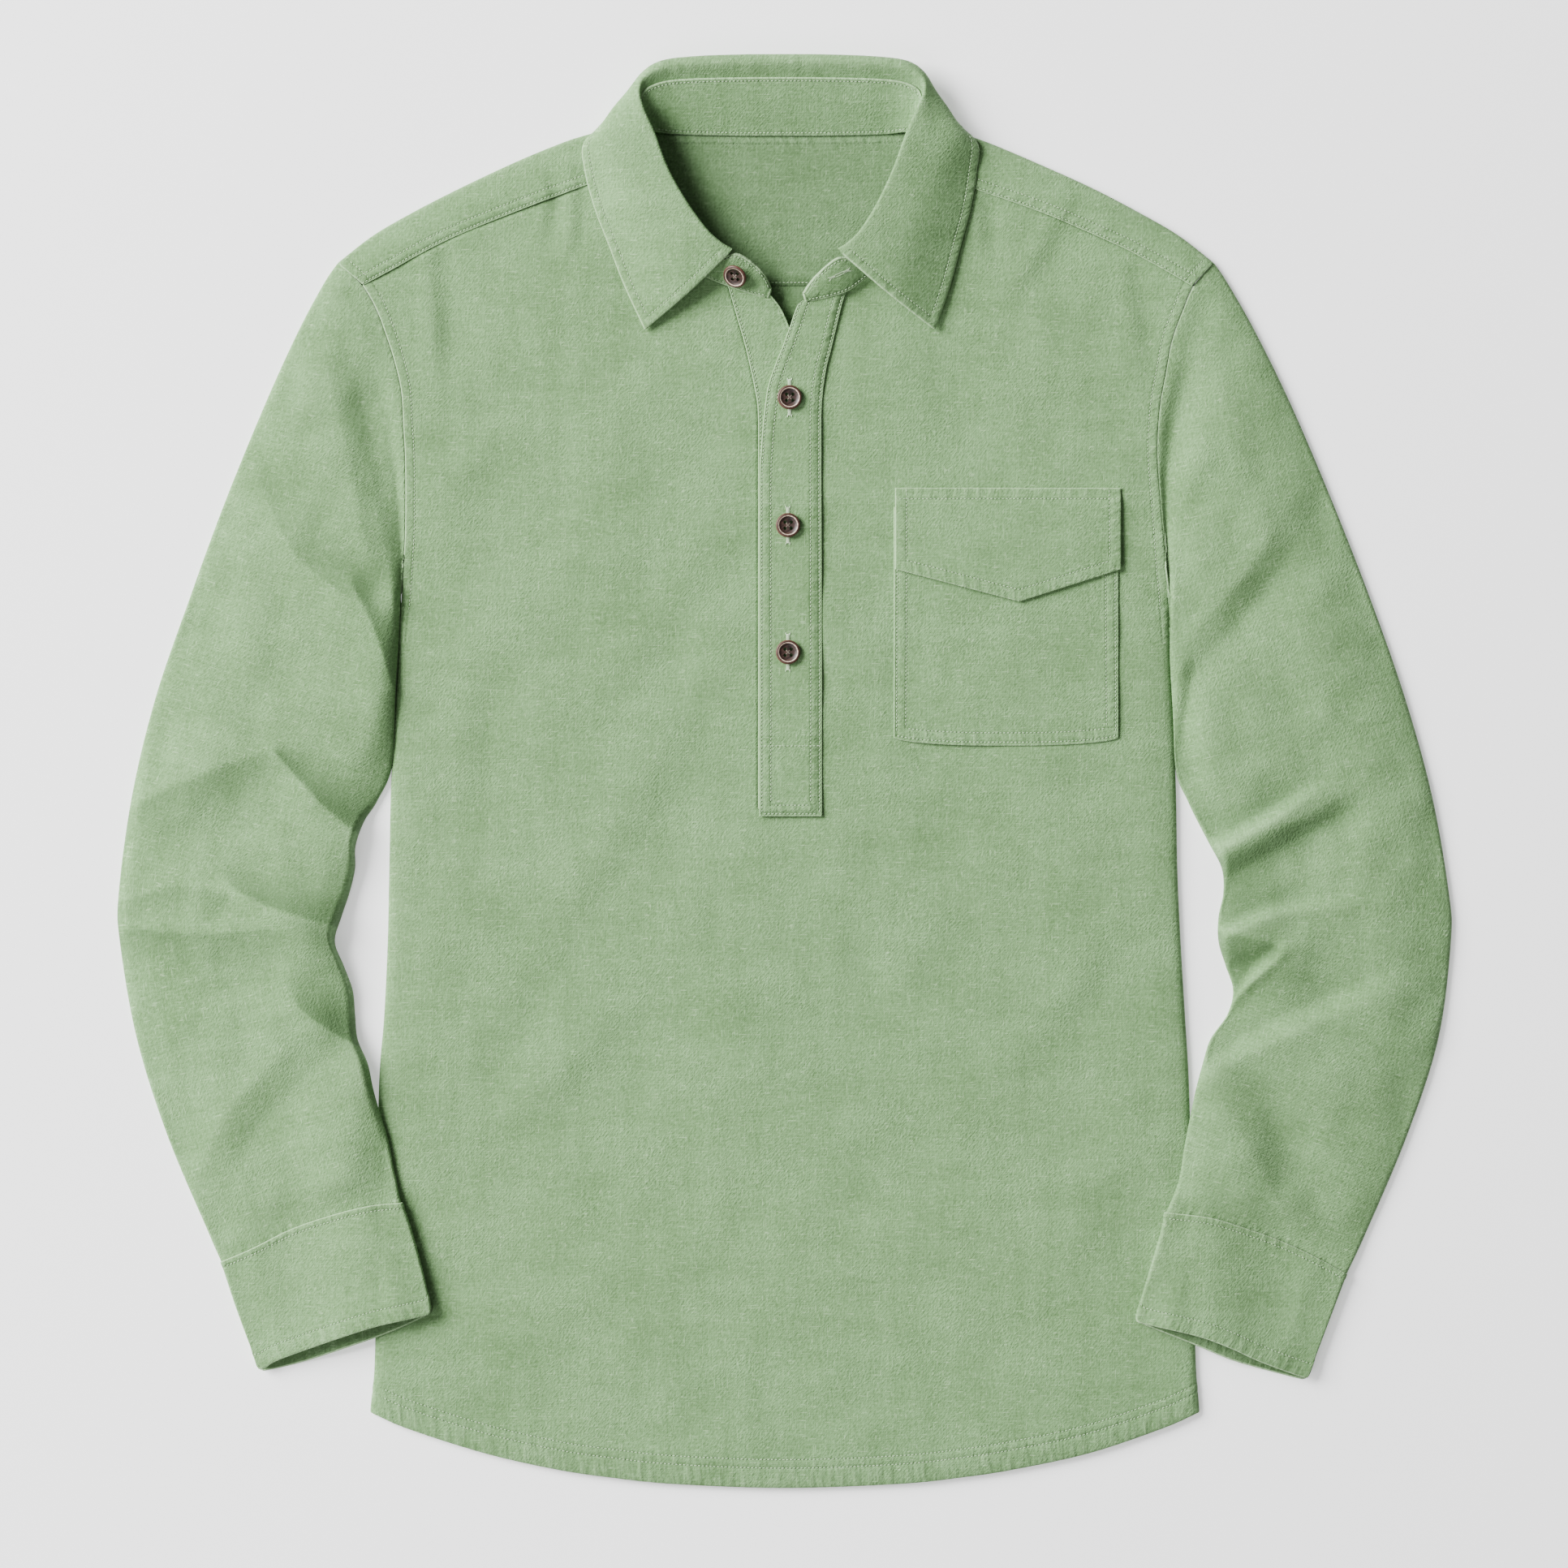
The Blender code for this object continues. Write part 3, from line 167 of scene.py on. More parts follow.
EDGE_MARKS = (0.3, 0.7, 1.3)    # extra stations at a pressed edge


def distances(places):
    """Distance of each place of a net from its four sides, measured along the cloth."""
    across = np.linalg.norm(np.diff(places, axis=1), axis=2)
    up = np.linalg.norm(np.diff(places, axis=0), axis=2)
    left = np.concatenate([np.zeros((len(places), 1)), np.cumsum(across, axis=1)], axis=1)
    low = np.concatenate([np.zeros((1, places.shape[1])), np.cumsum(up, axis=0)], axis=0)
    return {"left": left, "right": left[:, -1:] - left, "low": low, "high": low[-1:] - low}


def facing(places, flip):
    """Outward directions of a net of places."""
    right = np.gradient(places, axis=1)
    ahead = np.gradient(places, axis=0)
    out = np.cross(right, ahead) * (-1.0 if flip else 1.0)
    return out / np.maximum(np.linalg.norm(out, axis=2, keepdims=True), 1e-9)


WEAR_AND_SHADE_STEPS = 6          # how many stations away a place's surroundings reach


def hollowness(places):
    """How far each place lies below those around it: painted shade in hollows, rubbed tops."""
    soft = places[..., 2]
    count = 2 * WEAR_AND_SHADE_STEPS + 1
    for axis in (0, 1):
        margin = [(WEAR_AND_SHADE_STEPS, WEAR_AND_SHADE_STEPS) if k == axis else (0, 0) for k in (0, 1)]
        padded = np.pad(soft, margin, mode="edge")
        kept = np.arange(soft.shape[axis])
        soft = sum(np.take(padded, kept + k, axis=axis) for k in range(count)) / count
    return soft - places[..., 2]


FAR_FROM_SEAM = 500.0   # gap that stands for no sewn edge
NO_ROW = -50.0          # distance that stands for no row of stitches
SEWN_PAST = 0.03        # share by which the marks of sewing run on past its ends


def sewn_choices(gaps, sewn):
    """Which sewn edge each place of a net is nearest to, or -1, and what is known of each.

    sewn has a row for each sewn edge: side | rows | share along it where it starts | ends.
    """
    tall, wide = gaps["low"].shape
    nearest, least = np.full((tall, wide), -1), np.full((tall, wide), FAR_FROM_SEAM)
    choices = []
    for side, rows, start, finish in sewn:
        upright = side in ("left", "right")
        share = np.linspace(0, 1, tall)[:, None] if upright else np.linspace(0, 1, wide)[None, :]
        nearer = gaps[side] < least
        nearer &= (share >= start - SEWN_PAST) & (share <= finish + SEWN_PAST)
        least = np.where(nearer, gaps[side], least)
        nearest = np.where(nearer, len(choices), nearest)
        run = gaps["low"] if upright else gaps["left"]
        choices.append((run.ravel(), gaps[side].ravel(), *(tuple(rows) + (NO_ROW, NO_ROW))[:2]))
    return nearest.ravel(), choices


def seam_values(choices, pick, number):
    """Run, gap and two rows at numbered places of a net, for the sewn edge picked for each."""
    values = np.tile([0.0, FAR_FROM_SEAM, NO_ROW, NO_ROW], (len(pick), 1))
    for k, (run, gap, first, second) in enumerate(choices):
        here = pick == k
        spot = number[here]
        values[here] = np.column_stack([run[spot], gap[spot], np.full(len(spot), first),
                                        np.full(len(spot), second)])
    return values


RIPPLE = 1.15           # length of a ripple over the angle of a full turn
RIPPLE_LEAN = 0.12      # how much the ripples lean, going in from the edge
EDGE_DROP, EDGE_ROUND = 0.45, 1.1       # how far an edge rounds off, and over what width
ALLOWANCE = 0.32        # how much the allowance turned in at an edge raises the cloth
ALLOWANCE_PAST, ALLOWANCE_RAMP = 0.4, 2.4   # where past the last row it thins out, how slowly
ROW_SINK, ROW_WIDTH = 0.22, 0.8         # how far a row of stitches sinks in, and how widely
RIPPLE_REACH = 3.5      # how far the ripples reach past the last row


def ripple(run, gap, seed):
    """Uneven ripples across a seam, from -1 to 1, where washing has shrunk its thread."""
    lean = run + RIPPLE_LEAN * gap + 19.0 * seed
    wander = 2.3 * np.sin(lean / 11.3 + seed) + 1.7 * np.sin(lean / 27.1 + 2.0 * seed)
    strength = 0.62 + 0.38 * np.sin(lean / 15.7 + 3.0 * seed)
    return strength * np.sin(lean / RIPPLE + wander)


def sewn_relief(gap, run, first, second, pucker, seed):
    """Height of the cloth near a sewn edge: rounded edge, thicker allowance, rows, ripples."""
    last = np.maximum(first, second)
    thin = smoothstep((gap - last + ALLOWANCE_PAST) / ALLOWANCE_RAMP)
    height = -EDGE_DROP * (1.0 - round_off(gap / EDGE_ROUND))
    height += np.where(last > 0.0, ALLOWANCE * (1.0 - thin), 0.0)
    for row in (first, second):
        height -= ROW_SINK * np.exp(-((gap - row) / ROW_WIDTH) ** 2)
    reach = np.maximum(last, 2.0) + RIPPLE_REACH
    return height + pucker * ripple(run, gap, seed) * np.exp(-(gap / reach) ** 2)


def new_finish(name):
    """A new material, with its node tree and its shader."""
    made = bpy.data.materials.new(name)
    made.use_nodes = True
    return made, made.node_tree, made.node_tree.nodes["Principled BSDF"]


def fill(tree, node, inputs):
    """Gives each input of a node that is named a value or another node's output."""
    for socket, value in inputs.items():
        if isinstance(value, bpy.types.NodeSocket):
            tree.links.new(value, node.inputs[socket])
        else:
            node.inputs[socket].default_value = value


def add_node(tree, kind, inputs=(), **settings):
    """Adds a shader node with its settings and its inputs."""
    node = tree.nodes.new(kind)
    for setting, value in settings.items():
        setattr(node, setting, value)
    fill(tree, node, dict(inputs))
    return node


def maths(tree, operation, first, second=0.0, third=0.0):
    """Output of a maths node."""
    node = add_node(tree, "ShaderNodeMath", {0: first, 1: second, 2: third}, operation=operation)
    return node.outputs[0]


def spread(tree, value, low, high, to_low=0.0, to_high=1.0, smooth=False):
    """A value stretched from one range to another, and held at its ends."""
    kind = "SMOOTHSTEP" if smooth else "LINEAR"
    inputs = {"Value": value, "From Min": low, "From Max": high,
              "To Min": to_low, "To Max": to_high}
    return add_node(tree, "ShaderNodeMapRange", inputs, interpolation_type=kind).outputs[0]


def blend_colours(tree, share, first, second):
    """Output of a colour mix; colours are given as outputs or as three numbers."""
    first, second = ((*tone, 1.0) if isinstance(tone, tuple) else tone
                     for tone in (first, second))
    node = add_node(tree, "ShaderNodeMix", {0: share, 6: first, 7: second}, data_type="RGBA")
    return node.outputs[2]


def new_group(name, inputs, outputs):
    """An empty shader group, its inputs and its outputs, which are numbers with a name."""
    group = bpy.data.node_groups.new(name, "ShaderNodeTree")
    for label, kind, value in inputs:
        socket = group.interface.new_socket(name=label, in_out="INPUT", socket_type=kind)
        if value is not None:
            socket.default_value = value
    for label in outputs:
        group.interface.new_socket(name=label, in_out="OUTPUT", socket_type="NodeSocketFloat")
    return group, group.nodes.new("NodeGroupInput"), group.nodes.new("NodeGroupOutput")


def close_group(group, end, **outputs):
    """Links a group's results to its outputs of the same names."""
    for label, output in outputs.items():
        group.links.new(output, end.inputs[label])
    return group


def noise_of(tree, vector, scale, detail, dimensions="3D"):
    """Output of a noise node."""
    inputs = {"Vector": vector, "Scale": scale, "Detail": detail}
    return add_node(tree, "ShaderNodeTexNoise", inputs, noise_dimensions=dimensions).outputs[0]


def streaks(tree, vector, turn, fine, long, detail):
    """Noise drawn out along a direction: fine and long are how many marks a metre holds."""
    placed = add_node(tree, "ShaderNodeMapping", {"Vector": vector, "Rotation": (0.0, 0.0, turn),
                                                  "Scale": (1.0 / long, 1.0 / fine, 1.0)},
                      vector_type="TEXTURE")
    return noise_of(tree, placed.outputs[0], 1.0, detail, "2D")


# Marks of the weave: turn in radians | how many a metre holds across them | along them | detail
WEAVE_MARKS = {
    "weft": (0.0, 1500.0, 90.0, 0.0),
    "warp": (math.pi / 2, 1600.0, 100.0, 0.0),
    "brushed": (math.radians(49.0), 1150.0, 380.0, 1.5),
    "crepe": (0.3, 850.0, 640.0, 2.0),
    "weft bands": (0.0, 95.0, 16.0, 2.0),
    "warp bands": (math.pi / 2, 105.0, 14.0, 2.0),
    "shade": (0.2, 26.0, 20.0, 3.0),
    "weft slubs": (0.0, 1300.0, 150.0, 0.0),
    "warp slubs": (math.pi / 2, 1500.0, 170.0, 0.0),
}
TONE_SHARES = {"weft": 0.16, "warp": 0.14, "twill": 0.08, "brushed": 0.36, "crepe": 0.30,
               "weft bands": 0.15, "warp bands": 0.15, "shade": 0.20}
FLUFF_HEIGHT, THREAD_HEIGHT, TWILL_HEIGHT = 0.20, 0.04, 0.035


def washed_weave():
    """Tone of the brushed weave and its height in mm; Grain is a place on it in metres."""
    group, begin, end = new_group("washed weave", [("Grain", "NodeSocketVector", None)],
                                  ["Tone", "Slub", "Height"])
    grain = begin.outputs["Grain"]
    marks = {name: streaks(group, grain, *row) for name, row in WEAVE_MARKS.items()}
    marks["twill"] = add_node(group, "ShaderNodeTexWave",
                              {"Vector": grain, "Scale": 560.0, "Distortion": 1.2,
                               "Detail Scale": 1.5},
                              wave_type="BANDS", bands_direction="DIAGONAL").outputs["Fac"]
    tone = 0.5 - 0.5 * sum(TONE_SHARES.values())
    for name, share in TONE_SHARES.items():
        tone = maths(group, "MULTIPLY_ADD", marks[name], share, tone)
    slub = maths(group, "MAXIMUM", spread(group, marks["weft slubs"], 0.765, 0.84),
                 spread(group, marks["warp slubs"], 0.775, 0.85))
    fluffed = spread(group, marks["shade"], 0.35, 0.65, 0.6, 1.4)
    height = maths(group, "MULTIPLY_ADD", marks["brushed"], FLUFF_HEIGHT,
                   maths(group, "MULTIPLY", marks["crepe"], FLUFF_HEIGHT))
    height = maths(group, "MULTIPLY", height, fluffed)
    threads = maths(group, "ADD", marks["weft"], marks["warp"])
    height = maths(group, "MULTIPLY_ADD", threads, THREAD_HEIGHT, height)
    height = maths(group, "MULTIPLY_ADD", marks["twill"], TWILL_HEIGHT, height)
    return close_group(group, end, Tone=tone, Slub=slub, Height=height)


STITCH = 2.1            # length of one stitch with its needle hole
HOLE_POWER = 5.0        # power that narrows the beat of the stitches down to their holes
ROW_NARROW, HOLE_NARROW = 1.6, 11.0     # how narrow the rows and the holes are
ROW_DEPTH, HOLE_DEPTH, FOLD_DEPTH = 0.20, 0.20, 0.6
FOLD_LEAN, FOLD_STRETCH, FOLDS_PER_MM = 0.15, 0.22, 0.27    # of the small folds across a seam
ROW_SHADE, HOLLOW_SHADE = 0.22, 0.16      # painted shade in the rows drawn in and in the ripples' hollows
EDGE_WORN, CREST_WORN = 0.85, 0.18      # how worn the edge and the ripples' tops are


def sewn_edge():
    """Marks of sewing beside an edge. Seam holds the run along it and the gap to it, and
    Rows how far in its two rows of stitches are, all in metres; a row below 0 isn't there.

    Height is in mm: ripples, the two rows drawn in, and their needle holes. Worn is the
    rubbed edge and the ripples' tops, and the third output is painted shade in the rows
    drawn in, the needle holes and the ripples' hollows.
    """
    group, begin, end = new_group(
        "sewn edge", [("Seam", "NodeSocketVector", None), ("Rows", "NodeSocketVector", None),
                      ("Stitch", "NodeSocketFloat", STITCH)], ["Height", "Worn", "Deep"])
    parts = []
    for label in ("Seam", "Rows"):
        in_mm = add_node(group, "ShaderNodeVectorMath", {0: begin.outputs[label], "Scale": 1000.0},
                         operation="SCALE")
        parts.append(add_node(group, "ShaderNodeSeparateXYZ", {0: in_mm.outputs[0]}))
    run, gap = parts[0].outputs[:2]
    rows = parts[1].outputs[:2]
    beat = maths(group, "MULTIPLY", maths(group, "DIVIDE", run, begin.outputs["Stitch"]), math.tau)
    beat = maths(group, "MAXIMUM", maths(group, "COSINE", beat), 0.0)
    beat = maths(group, "POWER", beat, HOLE_POWER)
    drawn, holes = [], []
    for row in rows:
        away = maths(group, "SUBTRACT", gap, row)
        square = maths(group, "MULTIPLY", away, away)
        wide, narrow = (maths(group, "POWER", 2.718, maths(group, "MULTIPLY", square, -bell))
                        for bell in (ROW_NARROW, HOLE_NARROW))
        drawn.append(wide)
        holes.append(maths(group, "MULTIPLY", narrow, beat))
    drawn = maths(group, "MAXIMUM", *drawn)
    hole = maths(group, "MAXIMUM", *holes)
    place = add_node(group, "ShaderNodeCombineXYZ",
                     {0: maths(group, "MULTIPLY_ADD", gap, FOLD_LEAN, run),
                      1: maths(group, "MULTIPLY", gap, FOLD_STRETCH)})
    folds = noise_of(group, place.outputs[0], FOLDS_PER_MM, 1.5, "2D")
    last = maths(group, "MAXIMUM", *rows)
    reach = maths(group, "ADD", maths(group, "MAXIMUM", last, 2.0), 1.5)
    near = spread(group, maths(group, "DIVIDE", gap, reach), 0.55, 1.35, 1.0, 0.0, smooth=True)
    fold = maths(group, "MULTIPLY", maths(group, "SUBTRACT", folds, 0.5), near)
    height = maths(group, "MULTIPLY", fold, FOLD_DEPTH)
    height = maths(group, "MULTIPLY_ADD", drawn, -ROW_DEPTH, height)
    height = maths(group, "MULTIPLY_ADD", hole, -HOLE_DEPTH, height)
    rubbed = spread(group, gap, 0.15, 0.8, EDGE_WORN, 0.0, smooth=True)
    crests = maths(group, "MULTIPLY", spread(group, fold, 0.02, 0.22), CREST_WORN)
    # Rows, needle holes and the ripples' hollows get painted shade.
    hollows = maths(group, "MULTIPLY", spread(group, fold, -0.02, -0.22), HOLLOW_SHADE)
    worn = maths(group, "MAXIMUM", rubbed, crests)
    painted_shade = maths(group, "MAXIMUM", maths(group, "MULTIPLY", drawn, ROW_SHADE), hollows)
    painted_shade = maths(group, "MAXIMUM", painted_shade, hole)
    return close_group(group, end, Height=height, Worn=worn, Deep=painted_shade)


WEAVE = washed_weave()
SEWN_EDGE = sewn_edge()
CLOTH_DARK = (0.097, 0.192, 0.068)      # the darker threads
CLOTH_PALE = (0.202, 0.358, 0.158)      # the paler threads
CLOTH_WORN = (0.370, 0.545, 0.300)      # where washing has rubbed the dye off
CLOTH_SHADE = (0.042, 0.092, 0.029)      # painted shade in hollows, rows and needle holes
REVERSE_SHADE = 0.72    # how much darker the reverse is made: painted shade inside the neck and the cuffs' mouths
SLUB_SHOWS, EDGE_SHOWS, SEWING_SHADE_SHOWS = 0.4, 0.8, 0.7    # how strongly the slubs and rubbed edges tint the cloth, and the sewing's painted shade
RAISED_WORN, FOLD_PAINTED_SHADE = 0.13, 0.54     # the most that raised places are rubbed paler, and the most painted shade in hollows


def cloth_finish(name, depth):
    """The shirt's cloth, paler where washing has rubbed it, with painted shade in its hollows
    and sewing; depth below 1 darkens the whole for the reverse, as painted shade.
    """
    dark, pale, worn_tone, painted_shade_tone = (
        tuple(depth * part for part in tone)
        for tone in (CLOTH_DARK, CLOTH_PALE, CLOTH_WORN, CLOTH_SHADE))
    made, tree, shader = new_finish(name)
    maps = {label: add_node(tree, "ShaderNodeUVMap", uv_map=label).outputs[0]
            for label in ("grain", "seam", "rows", "wear_and_shade")}
    weave = add_node(tree, "ShaderNodeGroup", {"Grain": maps["grain"]}, node_tree=WEAVE)
    edge = add_node(tree, "ShaderNodeGroup", {"Seam": maps["seam"], "Rows": maps["rows"],
                                              "Stitch": STITCH}, node_tree=SEWN_EDGE)
    tone = spread(tree, weave.outputs["Tone"], 0.31, 0.69)
    colour = blend_colours(tree, tone, dark, pale)
    slub = maths(tree, "MULTIPLY", weave.outputs["Slub"], SLUB_SHOWS)
    colour = blend_colours(tree, slub, colour, worn_tone)
    hollow = add_node(tree, "ShaderNodeSeparateXYZ", {0: maps["wear_and_shade"]}).outputs[0]
    raised = spread(tree, hollow, -0.3 * MM, -2.5 * MM, 0.0, RAISED_WORN)
    worn = maths(tree, "MULTIPLY", edge.outputs["Worn"], EDGE_SHOWS)
    colour = blend_colours(tree, maths(tree, "MAXIMUM", worn, raised), colour, worn_tone)
    # Hollows of the folds get painted shade.
    painted_fold_shade = spread(tree, hollow, 0.3 * MM, 4.0 * MM, 0.0, FOLD_PAINTED_SHADE)
    painted_shade = maths(tree, "MULTIPLY", edge.outputs["Deep"], SEWING_SHADE_SHOWS)
    colour = blend_colours(tree, maths(tree, "MAXIMUM", painted_shade, painted_fold_shade), colour, painted_shade_tone)
    height = maths(tree, "ADD", weave.outputs["Height"], edge.outputs["Height"])
    bump = add_node(tree, "ShaderNodeBump", {"Strength": 1.0, "Distance": MM, "Height": height})
    fill(tree, shader, {"Base Color": colour, "Normal": bump.outputs[0], "Roughness": 0.86,
                        "Specular IOR Level": 0.25, "Sheen Weight": 0.18,
                        "Sheen Roughness": 0.45, "Sheen Tint": (0.80, 0.92, 0.74, 1.0)})
    return made


SAGE_CLOTH = cloth_finish("sage cloth", 1.0)
# A darker copy for the reverse: painted shade where the inside shows in the neck and cuffs.
SAGE_SHADED_REVERSE = cloth_finish("shaded reverse of the sage cloth", REVERSE_SHADE)


def as_mesh(name, bm):
    """Ends the work on a mesh and returns it."""
    mesh = bpy.data.meshes.new(name)
    bm.to_mesh(mesh)
    bm.free()
    return mesh


def in_scene(name, data):
    """A new object in the scene for a mesh, a lamp or a camera."""
    made = bpy.data.objects.new(name, data)
    bpy.context.scene.collection.objects.link(made)
    return made


def lay_cloth(name, across, up, surface, sewn=(), pucker=0.0, wall=CLOTH, offset=-1.0,
              flip=False, keep=None, seed=1.0, grain=None, faces=(SAGE_CLOTH, SAGE_SHADED_REVERSE),
              painted_fold_shade=None):
    """One cloth piece: a net of stations set on surface(across, up), then given its wall.

    sewn is the table of its sewn edges, and pucker the height of the ripples along them.
    keep(across, up) says which cells are cloth. The outer face is above the net, or below
    it when flip is set; faces are the finishes of the outer and the inner face, or of both.
    grain(places) says where they lie on the weave, and the last argument, a function of
    x and y, how much painted shade the cloth gets behind its sharp folds. Returns the piece
    and its net.
    """
    wide, tall = len(across), len(up)
    flat_across, flat_up = (v.ravel() for v in np.meshgrid(across, up))
    places = surface(flat_across, flat_up).reshape(tall, wide, 3)
    gaps = distances(places)
    out = facing(places, flip)
    # Hollowness map: raised places are rubbed paler, hollows get painted shade.
    wear_and_shade = hollowness(places).ravel()
    if painted_fold_shade is not None:
        wear_and_shade = wear_and_shade + painted_fold_shade(*places.reshape(-1, 3)[:, :2].T)
    nearest, choices = sewn_choices(gaps, sewn)
    run, gap, first, second = seam_values(choices, nearest, np.arange(wide * tall)).T
    relief = sewn_relief(gap, run, first, second, pucker, seed).reshape(tall, wide)
    places = places + out * relief[..., None]
    threads = places[..., :2] if grain is None else grain(places)

    bm = bmesh.new()
    number, cell = bm.verts.layers.int.new("number"), bm.faces.layers.int.new("cell")
    bmesh.ops.create_grid(bm, x_segments=wide - 1, y_segments=tall - 1, size=0.5)
    flat_places = places.reshape(-1, 3) * MM
    for vert in bm.verts:
        column = round((vert.co.x + 0.5) * (wide - 1))
        row = round((vert.co.y + 0.5) * (tall - 1))
        vert[number] = row * wide + column
        vert.co = flat_places[vert[number]]
    outside = []
    for face in bm.faces:
        face[cell] = min(v[number] for v in face.verts)
        row, column = divmod(face[cell], wide)
        middle = 0.5 * (across[column] + across[column + 1]), 0.5 * (up[row] + up[row + 1])
        if keep and not keep(*middle):
            outside.append(face)
    bmesh.ops.delete(bm, geom=outside, context="FACES")
    bmesh.ops.remove_doubles(bm, verts=bm.verts, dist=1e-6)
    if flip:
        bmesh.ops.reverse_faces(bm, faces=bm.faces)
    mesh = as_mesh(name, bm)

    kept, cells = np.zeros(len(mesh.vertices), int), np.zeros(len(mesh.polygons), int)
    mesh.attributes["number"].data.foreach_get("value", kept)
    mesh.attributes["cell"].data.foreach_get("value", cells)
    corners, counts = np.zeros(len(mesh.loops), int), np.zeros(len(mesh.polygons), int)
    mesh.loops.foreach_get("vertex_index", corners)
    mesh.polygons.foreach_get("loop_total", counts)
    for label in ("number", "cell"):
        mesh.attributes.remove(mesh.attributes[label])
    spots = kept[corners]
    seams = seam_values(choices, nearest[np.repeat(cells, counts)], spots)
    maps = {"grain": threads.reshape(-1, 2)[spots], "seam": seams[:, :2], "rows": seams[:, 2:],
            "wear_and_shade": np.column_stack([wear_and_shade, wear_and_shade])[spots]}
    for label, values in maps.items():
        flat = (values * MM).astype(np.float32)
        mesh.uv_layers.new(name=label).data.foreach_set("uv", flat.ravel())
    for finish in faces:
        mesh.materials.append(finish)
    mesh.shade_smooth()
    piece = in_scene(name, mesh)
    thick = piece.modifiers.new("wall", "SOLIDIFY")
    thick.thickness = wall * MM
    thick.offset = offset
    thick.use_quality_normals = True
    thick.material_offset = len(faces) - 1
    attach(piece, "root")
    return piece, {"places": places, "out": out, "gaps": gaps}


def back_surface(across, up):
    """The back lies flat, a little inside the front's edges."""
    left = [(x + BACK_INSET, y) for x, y in ARMHOLE_LEFT[3:] + SIDE_LEFT[1:]]
    right = [(x - BACK_INSET, y) for x, y in ARMHOLE_RIGHT[3:] + SIDE_RIGHT[1:]]
    top = YOKE_SEAM_Y - SEAM
    left[0], right[0] = (left[0][0] - BACK_CORNER, top), (right[0][0] + BACK_CORNER, top)
    low = [(x * 0.99, y + BACK_INSET) for x, y in HEM]
    low[0], low[-1] = left[-1], right[-1]
    plan = four_sided(left[::-1], right[::-1], low, [left[0], right[0]], across, up)
    return np.column_stack([plan, np.full(len(plan), CLOTH)])


# Its upper face takes the darker reverse, painted shade for the inside seen in the neck.
back, _ = lay_cloth(
    "back_panel", stations(440.0, 5.0, EDGE_MARKS, EDGE_MARKS),
    stations(660.0, 6.0, EDGE_MARKS, EDGE_MARKS), back_surface,
    sewn=[("low", (11.0,), 0.0, 1.0), ("high", (), 0.0, 1.0)], pucker=0.04,
    faces=(SAGE_SHADED_REVERSE, SAGE_CLOTH))
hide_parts("back")

# ---------------------------------------------------------------- the front panel
# One front from the forward shoulder seams to the hem, with a slit down the middle for the
# placket. Its side seams lie on the sides of the back, its hem is turned up twice and sewn
# with two rows, and its armholes carry one row that holds the seam down.

EDGE_TOP = 2.9          # height of the front along the hem
PANEL_TOP = 5.0         # height of the front away from its edges
NECK_LIFT = 1.6         # extra height round the neck
NECK_Y, NECK_WIDE, NECK_TALL = 290.0, 85.0, 70.0    # where it is, and how far it reaches
UNDERARM_BLEND = 30.0   # how far up and down the side seams end
CALM_EDGE = 30.0        # how far from its edges the front lies evenly
SIDE_ROLL = 18.0        # width over which the front rounds down to its edge
SIDE_TURN = 3.4         # width of the turn down to the floor at the side seams
SIDE_DROP = 1.7         # depth of that turn
SLIT_FOOT_Y = -20.0
ARMHOLE_ROW = 5.4       # distance of a row of stitches from the armhole seam
# side | rows of stitches, distance from the edge | share of the side where it starts | ends
FRONT_SEWN = [("low", (11.7, 16.4), 0.0, 1.0),
              ("left", (ARMHOLE_ROW,), 0.72, 0.99),
              ("right", (ARMHOLE_ROW,), 0.72, 0.99)]
FORWARD_LEFT = [(-233.6, 270.4), (-216.0, 279.9), (-204.8, 286.2), (-183.6, 297.0),
                (-147.2, 311.9), (-110.2, 325.8), (-79.7, 337.0)]
FORWARD_RIGHT = [(225.9, 270.0), (207.9, 280.4), (197.1, 286.2), (185.8, 292.0),
                 (145.3, 309.6), (104.9, 324.0), (75.5, 336.0)]
NECK_LEFT = [(-79.7, 337.0), (-77.8, 322.0), (-72.2, 307.4), (-61.4, 291.8),
             (-46.8, 278.6), (-30.9, 269.4)]
NECK_RIGHT = [(75.5, 336.0), (74.6, 322.0), (71.0, 307.2), (61.8, 290.8),
              (49.2, 277.4), (33.6, 267.6)]
UNDER_OUTER = [(-30.9, 269.4), (-25.2, 249.8), (-20.7, 233.6), (-15.8, 211.1),
               (-14.2, 196.7), (-14.2, 159.8), (-14.2, 70.0), (-14.2, SLIT_FOOT_Y)]
BAND_RIGHT = [
    (34.6, 267.6), (31.5, 257.9), (26.1, 235.3), (22.9, 222.3), (20.6, 203.0), (20.4, 177.3),
    (20.4, 159.8), (20.7, 70.0), (20.7, -24.3),
]
SLIT_RIGHT = [(x - 1.0, max(y, SLIT_FOOT_Y)) for x, y in BAND_RIGHT]

# A crest's place and width, and where it starts, in widths of its trough
CREST_PLACE, CREST_WIDTH, CREST_START = 1.35, 0.8, 0.6
